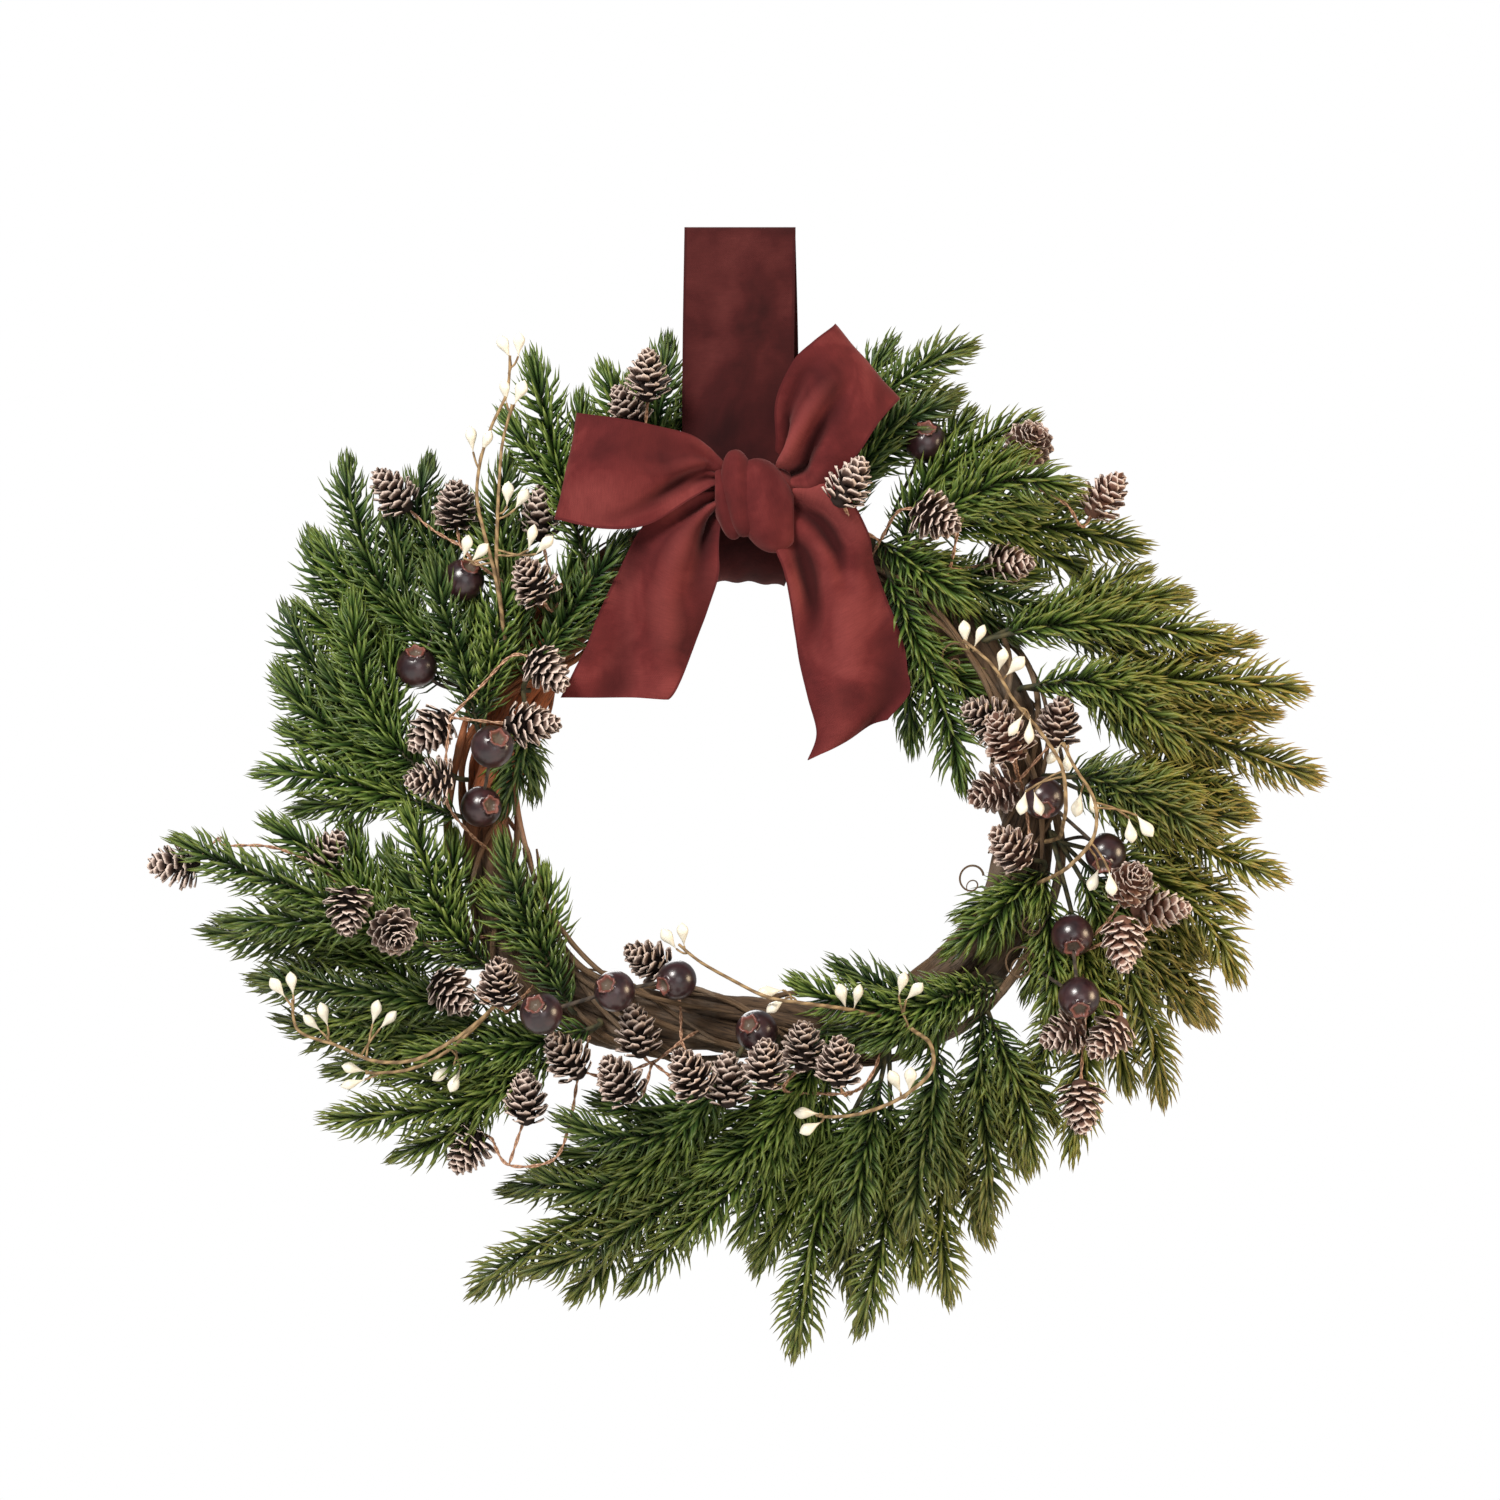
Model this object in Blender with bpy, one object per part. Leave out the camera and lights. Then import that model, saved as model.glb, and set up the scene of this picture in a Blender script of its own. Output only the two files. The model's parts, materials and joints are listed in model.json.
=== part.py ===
# Christmas wreath: spruce sprays, cones, berries and pips on a vine ring, hung by a ribbon with a bow.
# Metres, +Z up. The wreath hangs in the XZ plane and its front faces -Y.
# The origin is inside the fold at the top of the hanging ribbon, where it hangs.

import math

import bmesh
import bpy
import numpy as np
from mathutils import Vector
from mathutils.bvhtree import BVHTree
from mathutils.kdtree import KDTree

MM = 0.001
GAP = 0.35 * MM  # clearance that touching pieces keep
WELD = 0.002 * MM  # vertices nearer than this are one
NUDGE = 0.02 * MM  # how far the parts of a union are moved at each further try

# Driving sizes
RING_CENTRE = Vector((7.5, 0.0, -249.5)) * MM
BUNDLE_RADIUS = 16.5 * MM
RIBBON_WIDTH = 50.0 * MM
RIBBON_THICKNESS = 0.8 * MM
STRAP_FOLD = 2.6 * MM  # radius of the fold at the top of the hanging ribbon
NEEDLE_LENGTH = 15.0 * MM
CORE_RADIUS = 1.5 * MM
WHORL_SPACING = 18.5 * MM
WHORL_BAND = 1.7 * MM  # how much of the core a whorl of needles grows from
CONE_LENGTH = 27.0 * MM
CONE_RADIUS = 11.5 * MM
BERRY_RADIUS = 9.5 * MM
PIP_LENGTH = 10.5 * MM
PIP_RADIUS = 2.4 * MM
PIP_STEM_RADIUS = 1.0 * MM
WIRE_RADIUS = 0.65 * MM

# Places are millimetres across and up from the ring's centre, as the front view shows them
# from this distance, so a piece nearer the viewer is drawn in towards the view's middle.
VIEW_DISTANCE = 1875.0 * MM
VIEW_MIDDLE = (-3.0, 14.5)

RING_LINE = [
    (0, 108), (67, 87), (111, 37), (121, -22), (100, -78), (55, -108),
    (-26, -110), (-89, -94), (-116, -49), (-119, 5), (-93, 64), (-48, 99),
]

# Depths are millimetres behind the ring's middle plane, so the front is negative.
BACK = 8
MIDDLE = -10
FRONT = -30

LOOP_GAP = -1  # the owner that stands for the gap inside the ribbon's loop
LOOP_GAP_RADIUS = 7 * MM
SEAT_DEPTH = -24  # where a spray's stem has left the ring
SEATED = 4  # so many points of a stem lie at the ring, where it is seated
TIP_NEEDLES = 9  # a core ends this far, in millimetres, short of its furthest needle tips
STEM_ROOM = 0.9 * MM
NEEDLE_RISE = 2.0 * MM  # how far a needle's tip stands off the face it is raised from
NEEDLE_ROOM = 1.2 * MM
WIRE_ROOM = 0.4 * MM
PIECE_ROOM = 0.5 * MM

# How far from its seat a pick's further sprays leave its first stem
FORKS = (5.5 * MM, 9.0 * MM, 13.0 * MM)

CONE_BEHIND = 12  # a cone starts this far behind its wire's depth and settles forward
BERRY_START = -14  # the depth that a berry starts from

# Each pick has its seat on the ring, then one (depth, points from tip to seat) for each spray.
PICKS = [
    ((-44, 112), (14, (-40, 203), (-43, 172), (-46, 145)), (16, (-71, 191), (-61, 165), (-52, 140))),
    ((-74, 94), (MIDDLE, (-102, 195), (-95, 165), (-85, 127))),
    ((-104, 64), (MIDDLE, (-111, 149), (-116, 118), (-112, 91)),
     (BACK, (-147, 149), (-152, 116), (-134, 86))),
    ((-121, 39), (MIDDLE, (-185, 149), (-182, 122), (-165, 82)),
     (BACK, (-203, 116), (-190, 84), (-161, 55))),
    ((-130, 1), (FRONT, (-182, 87), (-180, 59), (-171, 30), (-154, 8)),
     (BACK, (-214, 82), (-201, 55), (-174, 26)), (MIDDLE, (-217, 54), (-197, 28), (-167, 10))),
    ((-120, 19), (FRONT, (-148, 102), (-140, 75), (-131, 50)),
     (-24, (-108, 96), (-116, 73), (-120, 46))),
    ((-102, 41), (-22, (-57, 113), (-74, 90), (-89, 68)),
     (-22, (-116, -17), (-108, 3), (-104, 23))),
    ((-129, -15), (MIDDLE, (-228, 5), (-197, 3), (-163, -6))),
    ((-113, -82), (FRONT, (-159, -9), (-149, -35), (-139, -64)),
     (MIDDLE, (-185, -15), (-178, -40), (-156, -69))),
    ((-82, -100), (FRONT, (-116, -22), (-109, -46), (-99, -71))),
    ((-116, -78), (MIDDLE, (-264, -24), (-233, -39), (-201, -50), (-161, -69)),
     (-4, (-251, -66), (-219, -70), (-188, -72), (-152, -79))),
    ((-102, -96), (MIDDLE, (-230, -88), (-206, -91), (-179, -94), (-143, -98)),
     (BACK, (-218, -106), (-183, -114), (-143, -114))),
    ((-71, -107), (FRONT, (-161, -121), (-134, -123), (-102, -118)),
     (MIDDLE, (-197, -152), (-170, -150), (-138, -146), (-107, -134))),
    ((-3, -114), (FRONT, (-92, -150), (-62, -160), (-30, -152)),
     (MIDDLE, (-103, -172), (-78, -184), (-44, -170))),
    ((9, -114), (12, (-131, -232), (-107, -214), (-71, -193), (-30, -161)),
     (-8, (-106, -222), (-68, -206), (-18, -172))),
    ((33, -112), (FRONT, (-27, -177), (-3, -163), (19, -139)),
     (MIDDLE, (-49, -209), (-23, -194), (10, -157)), (BACK, (-4, -216), (15, -193), (28, -157))),
    ((58, -116), (BACK, (16, -261), (21, -233), (27, -199), (42, -152)),
     (MIDDLE, (45, -250), (51, -229), (58, -195), (60, -152)),
     (FRONT, (42, -206), (47, -175), (54, -143))),
    ((80, -103), (BACK, (87, -237), (83, -206), (81, -166), (81, -134)),
     (FRONT, (67, -206), (74, -170), (80, -139))),
    ((98, -91), (MIDDLE, (103, -202), (104, -170), (101, -132)),
     (-22, (125, -176), (119, -143), (109, -116))),
    ((105, -87), (FRONT, (47, -121), (69, -109), (89, -98)),
     (-24, (13, -88), (37, -99), (67, -102), (87, -96))),
    ((125, -35), (-26, (83, -79), (103, -64), (116, -51)), (FRONT, (125, -62), (128, -49)),
     (-22, (132, -114), (134, -85), (131, -58))),
    ((132, -26), (MIDDLE, (184, -147), (177, -112), (161, -71)),
     (-16, (141, -172), (146, -134), (148, -89)),
     (BACK, (207, -112), (190, -85), (163, -53)),
     (MIDDLE, (219, -91), (202, -62), (168, -37))),
    ((130, 1), (MIDDLE, (239, -44), (211, -33), (172, -15)),
     (BACK, (226, -14), (202, -4), (163, 3)), (FRONT, (208, -27), (181, -10), (154, 1))),
    ((118, 41), (FRONT, (194, 11), (177, 30), (152, 45)),
     (BACK, (256, 0), (226, 11), (190, 24), (154, 37)), (-4, (250, 41), (213, 45), (168, 46))),
    ((105, 64), (-16, (216, 64), (186, 68), (145, 72)), (BACK, (198, 84), (172, 80), (136, 77))),
    ((50, 105), (FRONT, (99, 77), (78, 93)), (MIDDLE, (145, 74), (118, 80), (87, 93)),
     (-24, (94, -6), (85, 30), (67, 75))),
    ((35, 105), (BACK, (101, 198), (76, 188), (51, 167), (40, 136)),
     (MIDDLE, (92, 173), (73, 166), (51, 149))),
    ((62, 98), (MIDDLE, (127, 166), (94, 147), (71, 125)),
     (FRONT, (148, 132), (114, 136), (85, 122)), (BACK, (178, 105), (136, 114), (96, 116))),
]

# Each cone is (across, up, which way its tip points in degrees from right, how far it leans to the
# front in degrees). Each sprig has its seat on the ring, its wire's depth, its cones and the places
# that its wire passes.
CONE_SPRIGS = [
    ((-97, 78), -26, [(-164, 131, 130, 15), (-135, 125, 90, 25)], [(-125, 98)]),
    ((-83, 82), -26, [(-97, 121, 90, 20), (-101, 91, 120, 25)], []),
    ((-120, -31), -26, [(-94, 50, 315, 20), (-101, 26, 0, 20), (-147, 23, 225, 20), (-147, 1, 180, 20)],
     [(-133, -4), (-130, 28)]),
    ((-120, -69), -26, [(-262, -37, 180, 10), (-193, -32, 55, 20), (-184, -58, 270, 20),
                   (-163, -68, 300, 65)],
     [(-161, -82), (-194, -55), (-215, -42), (-246, -40)]),
    ((-100, -91), -26, [(-137, -95, 315, 25), (-116, -90, 90, 25)], []),
    ((-75, -114), -26, [(-104, -142, 90, 20), (-130, -166, 235, 20)],
     [(-82, -139), (-89, -168), (-116, -171)]),
    ((-26, -112), -26,
     [(-54, -112, 100, 10), (-13, -134, 90, 10), (-86, -123, 125, 25), (-62, -134, 120, 25),
      (-30, -131, 120, 25), (-49, -80, 150, 30)], []),
    ((51, -112), -26, [(21, -119, 90, 15), (4, -127, 90, 25), (37, -126, 90, 25)],
     [(55, -130), (42, -139), (10, -139)]),
    ((-56, 104), -12, [(-58, 168, 120, 15), (-49, 183, 90, 20)], [(-57, 130)]),
    ((51, 100), -26, [(42, 135, 60, 10), (81, 119, 330, 25)], []),
    ((78, 82), -26, [(113, 98, 0, 25), (123, 153, 60, 65), (157, 129, 50, 20)],
     [(90, 104), (96, 129), (130, 132), (145, 116)]),
    ((121, -4), -26, [(103, 29, 150, 15), (112, 21, 120, 25), (136, 27, 80, 25), (106, -4, 200, 25),
                 (114, -29, 135, 25)], []),
    ((122, -52), -22, [(182, -57, 0, 15), (138, -113, 200, 15), (169, -45, 60, 65), (165, -73, 270, 25),
                  (158, -115, 225, 20), (146, -146, 270, 20)], [(150, -84)]),
]

# Berries are (across, up, which way the crown points, how far it leans to the front).
BERRY_GROUPS = [
    [(-132, 91, 60, 40), (-153, 52, 90, 40)],
    [(-119, 16, 50, 55), (-124, -11, 10, 55)],
    [(-97, -104, 120, 55), (-64, -94, 135, 55), (-36, -89, 200, 40)],
    [(0, -112, 135, 55)],
    [(76, 153, 90, 50)],
    [(129, -7, 270, 55), (157, -32, 250, 50)],
    [(142, -69, 270, 55), (145, -97, 270, 55)],
]

# Pips are in pairs at (across, up, which way they point). Each stem is a route from its free end.
PIP_SPRIGS = [
    ((-110, 58), -36, [[(-111, 192), (-111, 179), (-120, 158), (-126, 130), (-117, 90)],
                    [(-110, 170), (-112, 127), (-113, 100)]],
     [(-110, 196, 100), (-110, 175, 80), (-125, 153, 80), (-109, 128, 70), (-128, 104, 60),
      (-98, 107, 60)]),
    ((-108, -88), -34, [[(-209, -98), (-206, -104), (-185, -112), (-161, -119), (-130, -104)],
                     [(-176, -131), (-156, -129), (-135, -118)]],
     [(-212, -92, 110), (-197, -107, 120), (-169, -106, 60), (-181, -132, 180), (-138, -132, 230)]),
    ((66, -104), -44, [[(-35, -73), (-33, -76), (4, -96), (30, -100)],
                    [(27, -150), (46, -147), (67, -138), (80, -121)]],
     [(-36, -70, 110), (8, -97, 200), (42, -97, 90), (68, -93, 60), (24, -152, 190),
      (66, -135, 100)]),
    ((128, -27), -54, [[(93, 64), (109, 37), (130, 10), (134, -12)]],
     [(97, 66, 80), (113, 53, 60), (119, 25, 250), (123, -9, 270)]),
    ((123, -48), -50, [[(138, 17), (154, 0), (160, -20), (148, -38)]],
     [(137, 12, 250), (148, -9, 270), (171, -20, 290), (155, -44, 260)]),
]

# Ribbon edges: (depth, one edge, the other edge) at each station, from the knot outwards.
LEFT_LOOP = [
    (-33, (-20, 147), (-18, 136)), (-40, (-30, 156), (-30, 128)), (-45, (-47, 161), (-49, 116)),
    (-46, (-64, 164), (-69, 114)), (-41, (-79, 166), (-89, 118)), (-35, (-80, 166), (-90, 118)),
    (-29, (-78, 164), (-86, 119)), (-25, (-62, 158), (-67, 120)), (-25, (-45, 152), (-47, 124)),
    (-28, (-28, 147), (-28, 131)),
]
RIGHT_LOOP = [
    (-33, (11, 150), (18, 138)), (-40, (9, 170), (30, 138)), (-46, (16, 189), (45, 151)),
    (-46, (25, 198), (55, 162)), (-41, (34, 205), (63, 171)), (-35, (35, 206), (64, 172)),
    (-29, (32, 202), (61, 170)), (-25, (24, 188), (50, 162)), (-25, (19, 172), (39, 152)),
    (-28, (17, 158), (28, 144)),
]
LEFT_TAIL = [
    (-31, (-21, 131), (-17, 119)), (-36, (-42, 124), (-17, 105)), (-38, (-54, 112), (-17, 93)),
    (-34, (-63, 94), (-22, 77)), (-30, (-71, 76), (-27, 64)), (-33, (-76, 62), (-32, 51)),
    (-36, (-82, 50), (-36, 42)), (-36, (-88, 38), (-40, 38)),
]
RIGHT_TAIL = [
    (-31, (13, 115), (18, 127)), (-36, (9, 106), (34, 124)), (-38, (12, 96), (47, 112)),
    (-34, (15, 82), (53, 98)), (-31, (17, 68), (59, 82)), (-33, (19, 54), (66, 64)),
    (-37, (23, 38), (68, 51)), (-36, (27, 22), (69, 40)), (-34, (23, 10), (59, 28)),
]
KNOT_MIDDLE = (-1, 128)
KNOT_DEPTH = -30.9 * MM
KNOT_HALF = Vector((16.5, 15.0, 22.0)) * MM


def at(across, up, depth):
    """The point that the front view shows at across and up, at this depth in metres."""
    grow = 1 + depth / VIEW_DISTANCE
    x = VIEW_MIDDLE[0] + (across - VIEW_MIDDLE[0]) * grow
    z = VIEW_MIDDLE[1] + (up - VIEW_MIDDLE[1]) * grow
    return RING_CENTRE + Vector((x * MM, depth, z * MM))


def through(points, spacing, closed=False):
    """Points spaced along a smooth curve through the given points."""
    count = len(points)
    spans = count if closed else count - 1
    found = []
    for i in range(spans):
        if closed:
            four = [points[(i + k) % count] for k in (-1, 0, 1, 2)]
        else:
            four = [points[min(max(i + k, 0), count - 1)] for k in (-1, 0, 1, 2)]
        a, b, c, d = four
        steps = max(1, round((c - b).length / spacing))
        for j in range(steps):
            t = j / steps
            found.append(0.5 * (2 * b + (c - a) * t + (2 * a - 5 * b + 4 * c - d) * t * t
                                + (3 * b - a - 3 * c + d) * t ** 3))
    if not closed:
        found.append(points[-1].copy())
    return found


def material(name, color, rough, metallic=0.0):
    made = bpy.data.materials.new(name)
    made.use_nodes = True
    shader = made.node_tree.nodes["Principled BSDF"]
    shader.inputs["Base Color"].default_value = (*color, 1.0)
    shader.inputs["Roughness"].default_value = rough
    shader.inputs["Metallic"].default_value = metallic
    made.diffuse_color = (*color, 1.0)
    return made


def signed_volume(group):
    """The volume that faces enclose, negative where they point inwards."""
    total = 0.0
    for face in group:
        a = face.verts[0].co
        for b, c in zip(face.verts[1:], face.verts[2:]):
            total += a.dot(b.co.cross(c.co)) / 6
    return total


def add_object(name, verts, faces, smooth=False):
    mesh = bpy.data.meshes.new(name)
    mesh.from_pydata([tuple(v) for v in verts], [], faces)
    shape = bmesh.new()
    shape.from_mesh(mesh)
    bmesh.ops.recalc_face_normals(shape, faces=shape.faces)
    if signed_volume(shape.faces) < 0:
        bmesh.ops.reverse_faces(shape, faces=shape.faces)
    shape.to_mesh(mesh)
    shape.free()
    if smooth:
        mesh.shade_smooth()
        mesh.set_sharp_from_angle(angle=math.radians(50))
    made = bpy.data.objects.new(name, mesh)
    bpy.context.scene.collection.objects.link(made)
    return made


def frames_along(points):
    """A direction and two sideways directions at each point, turning as little as possible."""
    frames = []
    side = None
    for i, point in enumerate(points):
        ahead = (points[min(i + 1, len(points) - 1)] - points[max(i - 1, 0)]).normalized()
        if side is None:
            side = ahead.orthogonal()
        side = (side - ahead * side.dot(ahead)).normalized()
        frames.append((ahead, side, ahead.cross(side)))
    return frames


def tube(points, radius, sides):
    """Vertices and faces of a closed tube with a point at each end."""
    verts = [points[0]]
    frames = frames_along(points)
    for (ahead, side, up), point in list(zip(frames, points))[1:-1]:
        for k in range(sides):
            turn = 2 * math.pi * k / sides
            verts.append(point + radius * (side * math.cos(turn) + up * math.sin(turn)))
    verts.append(points[-1])
    faces = []
    rows = len(points) - 2
    for k in range(sides):
        n = (k + 1) % sides
        faces.append((0, 1 + k, 1 + n))
        last = 1 + (rows - 1) * sides
        faces.append((len(verts) - 1, last + n, last + k))
        for j in range(rows - 1):
            low = 1 + j * sides
            faces.append((low + k, low + sides + k, low + sides + n))
            faces.append((low + k, low + sides + n, low + n))
    return verts, faces


def islands(shape):
    """The connected groups of faces in a bmesh."""
    left = set(shape.faces)
    groups = []
    while left:
        todo = [left.pop()]
        group = []
        while todo:
            face = todo.pop()
            group.append(face)
            for edge in face.edges:
                if len(edge.link_faces) != 2:
                    continue
                for other in edge.link_faces:
                    if other in left:
                        left.remove(other)
                        todo.append(other)
        groups.append(group)
    return groups


def fill_and_clean(mesh, weld):
    """Fills the hollows that a union sealed and drops loose scraps, keeping the main body."""
    shape = bmesh.new()
    shape.from_mesh(mesh)
    groups = islands(shape)
    volumes = [signed_volume(group) for group in groups]
    body = max(range(len(groups)), key=lambda i: volumes[i])
    for index, group in enumerate(groups):
        if index != body and volumes[index] < 0.02 * volumes[body]:
            bmesh.ops.delete(shape, geom=group, context="FACES")
    if weld:
        bmesh.ops.remove_doubles(shape, verts=shape.verts, dist=WELD)
    bmesh.ops.dissolve_degenerate(shape, dist=WELD, edges=shape.edges)
    bmesh.ops.triangulate(shape, faces=shape.faces)
    shape.to_mesh(mesh)
    shape.free()


def nearly_meet(mesh):
    """Whether any two vertices of a mesh are closer than a solid can hold apart."""
    tree = KDTree(len(mesh.vertices))
    for index, vert in enumerate(mesh.vertices):
        tree.insert(vert.co, index)
    tree.balance()
    return any(len(tree.find_range(vert.co, 0.8 * WELD)) > 1 for vert in mesh.vertices)


def sound(mesh):
    """Whether a mesh is one closed body whose vertices stand apart."""
    shape = bmesh.new()
    shape.from_mesh(mesh)
    closed = all(edge.is_manifold for edge in shape.edges) and all(v.is_manifold for v in shape.verts)
    whole = closed and len(islands(shape)) == 1
    shape.free()
    return whole and not nearly_meet(mesh)


def union_of(name, parts, nudge, weld):
    """The mesh of one Boolean union, with the parts after the first moved by a hair."""
    group = bpy.data.collections.new(name + "_parts")
    bpy.context.scene.collection.children.link(group)
    made = add_object(name + "_union", *parts[0])
    helpers = []
    for index, (verts, faces) in enumerate(parts[1:]):
        turn = 1.9 * index + 2.6 * nudge
        hair = Vector((math.sin(turn), math.cos(1.3 * turn), math.sin(0.7 * turn))) * NUDGE * nudge
        helper = add_object(name + "_" + str(index), [v + hair for v in verts], faces)
        bpy.context.scene.collection.objects.unlink(helper)
        group.objects.link(helper)
        helpers.append(helper)
    union = made.modifiers.new("join", "BOOLEAN")
    union.operation = "UNION"
    union.operand_type = "COLLECTION"
    union.solver = "MANIFOLD"
    union.collection = group
    bpy.context.view_layer.update()
    mesh = bpy.data.meshes.new_from_object(made.evaluated_get(bpy.context.evaluated_depsgraph_get()))
    for helper in helpers + [made]:
        bpy.data.objects.remove(helper)
    bpy.data.collections.remove(group)
    fill_and_clean(mesh, weld)
    return mesh


def joined(name, parts, look):
    """One solid from overlapping ones, joined by a Boolean union on a collection."""
    if len(parts) == 1:
        made = add_object(name, *parts[0])
    else:
        for nudge, weld in [(nudge, weld) for nudge in range(14) for weld in (False, True)]:
            mesh = union_of(name, parts, nudge, weld)
            if sound(mesh):
                break
        mesh.name = name
        made = bpy.data.objects.new(name, mesh)
        bpy.context.scene.collection.objects.link(made)
    made.data.materials.clear()
    made.data.materials.append(look)
    return made


class Pile:
    """What is already placed, as balls and sheets, so that the next piece is kept clear of it."""

    def __init__(self):
        self.middles = []
        self.radii = []
        self.owners = []
        self.trees = []
        self.balls = None

    def add_tree(self, made):
        mesh = made.data
        corners = [made.matrix_world @ v.co for v in mesh.vertices]
        self.trees.append(BVHTree.FromPolygons(corners, [tuple(p.vertices) for p in mesh.polygons]))

    def add_balls(self, points, radius, owner):
        for point in points:
            self.middles.append(tuple(point))
            self.radii.append(radius)
            self.owners.append(owner)
        self.balls = (np.array(self.middles), np.array(self.radii), np.array(self.owners))

    def room(self, point, owner, skip_ring=False):
        """The distance from a point to the nearest thing that isn't the owner's."""
        best = 1.0
        for tree in self.trees[1 if skip_ring else 0:]:
            spot, normal, _, distance = tree.find_nearest(point)
            if tree is self.trees[0] and (point - spot).dot(normal) < 0:
                distance = -distance
            best = min(best, distance)
        if self.balls is not None:
            middles, radii, owners = self.balls
            others = owners != owner
            if others.any():
                away = np.linalg.norm(middles[others] - np.array(point), axis=1) - radii[others]
                best = min(best, float(away.min()))
        return best


pile = Pile()


def build_ring(look):
    """A bundle of vines: a closed tube whose section has five lobes that twist along it."""
    lobes = 5
    sides = 3 * lobes
    rows = 36
    turns = 2
    line = through([at(x, z, 0.0) for x, z in RING_LINE], 1 * MM, closed=True)
    lengths = [0.0]
    for a, b in zip(line, line[1:] + line[:1]):
        lengths.append(lengths[-1] + (b - a).length)
    centres = []
    for row in range(rows):
        want = lengths[-1] * row / rows
        index = max(i for i, along in enumerate(lengths[:-1]) if along <= want)
        centres.append(line[index])
    verts = []
    for row, centre in enumerate(centres):
        ahead = (centres[(row + 1) % rows] - centres[row - 1]).normalized()
        front = Vector((0, -1, 0))
        out = front.cross(ahead).normalized()
        along = 2 * math.pi * row / rows
        fat = BUNDLE_RADIUS * (1 + 0.05 * math.sin(3 * along - 1.2) + 0.04 * math.sin(5 * along - 1.2))
        for side in range(sides):
            turn = 2 * math.pi * side / sides + turns * along
            lift = 0.86 if side % 3 == 0 else 1.04
            verts.append(centre + fat * lift * (out * math.cos(turn) + front * math.sin(turn)))
    faces = []
    for row in range(rows):
        # the twist comes round to whole vine lines, so the last row meets the first turned
        shift = turns * sides if row == rows - 1 else 0
        after = (row + 1) % rows * sides
        for side in range(sides):
            far = (side + 1) % sides
            a = row * sides + side
            b = row * sides + far
            c = after + (far + shift) % sides
            d = after + (side + shift) % sides
            faces.append((a, b, c))
            faces.append((a, c, d))
    made = add_object("vine_ring", verts, faces, smooth=True)
    made.data.materials.append(look)
    pile.add_tree(made)
    return made, line


def sheet(name, rows, look, closed=False, smooth=True):
    """A thin solid whose middle surface has the given rows of points."""
    width = len(rows[0])
    count = len(rows)
    spans = count if closed else count - 1
    faces = []
    for i in range(spans):
        n = (i + 1) % count
        for j in range(width - 1):
            faces.append((i * width + j, i * width + j + 1, n * width + j + 1))
            faces.append((i * width + j, n * width + j + 1, n * width + j))
    flat = [point for row in rows for point in row]
    normals = [Vector() for _ in flat]
    for a, b, c in faces:
        normal = (flat[b] - flat[a]).cross(flat[c] - flat[a])
        for index in (a, b, c):
            normals[index] += normal
    half = RIBBON_THICKNESS / 2
    verts = [p + n.normalized() * half for p, n in zip(flat, normals)]
    verts += [p - n.normalized() * half for p, n in zip(flat, normals)]
    under = len(flat)
    solid = list(faces) + [(c + under, b + under, a + under) for a, b, c in faces]
    for i in range(spans):
        n = (i + 1) % count
        for j, flip in ((0, False), (width - 1, True)):
            a, b = i * width + j, n * width + j
            quad = (a, b, b + under, a + under)
            if flip:
                quad = quad[::-1]
            solid.append((quad[0], quad[1], quad[2]))
            solid.append((quad[0], quad[2], quad[3]))
    if not closed:
        for i, flip in ((0, True), (count - 1, False)):
            for j in range(width - 1):
                a, b = i * width + j, i * width + j + 1
                quad = (a, b, b + under, a + under)
                if flip:
                    quad = quad[::-1]
                solid.append((quad[0], quad[1], quad[2]))
                solid.append((quad[0], quad[2], quad[3]))
    made = add_object(name, verts, solid, smooth)
    made.data.materials.append(look)
    pile.add_tree(made)
    return made


def ring_drop(x, line):
    """How high the ring's centre line passes at this x, at the top of the ring."""
    over = [p for p in line if p.z > RING_CENTRE.z]
    return min(over, key=lambda p: abs(p.x - x)).z


def wrap_radius(ring, line):
    """The least radius at which the ribbon's middle clears the top of the ring."""
    reach = RIBBON_WIDTH / 2 + 6 * MM
    over = [v.co for v in ring.data.vertices if v.co.z > RING_CENTRE.z and abs(v.co.x) < reach]
    fat = max(math.hypot(v.y, v.z - ring_drop(v.x, line)) for v in over)
    return fat + GAP + RIBBON_THICKNESS / 2


def strap_row(share, x, wrap, wrap_z):
    """A point of the hanging ribbon's loop, from share 0 at the top round the front and back."""
    top = -STRAP_FOLD
    if share < 0.1 or share > 0.9:
        turn = (share if share < 0.5 else share - 1) / 0.1 * math.pi / 2
        return Vector((x, -STRAP_FOLD * math.sin(turn), top + STRAP_FOLD * math.cos(turn)))
    if 0.35 <= share <= 0.65:
        turn = (share - 0.35) / 0.3 * math.pi
        return Vector((x, -wrap * math.cos(turn), wrap_z - wrap * math.sin(turn)))
    down = (share - 0.1) / 0.25 if share < 0.5 else (0.9 - share) / 0.25
    front = -1 if share < 0.5 else 1
    return Vector((x, front * (STRAP_FOLD + (wrap - STRAP_FOLD) * down), top + (wrap_z - top) * down))


def build_strap(ring, line, look):
    rows = []
    count = 30
    wrap = wrap_radius(ring, line)
    for row in range(count):
        share = row / count
        pinch = math.exp(-((share - 0.5) / 0.12) ** 2)
        half = RIBBON_WIDTH / 2 * (1 - 0.2 * pinch)
        points = []
        for x in (-half, 0.0, half):
            points.append(strap_row(share, x, wrap, ring_drop(x, line)))
        rows.append(points)
    sheet("hanging_ribbon", rows, look, closed=True)
    # the gap inside the loop stays free, out past both edges of the ribbon
    for down in range(40, 122, 6):
        spots = [Vector((x * MM, 0, -down * MM)) for x in range(-22, 23, 4)]
        pile.add_balls(spots, LOOP_GAP_RADIUS, LOOP_GAP)


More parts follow.
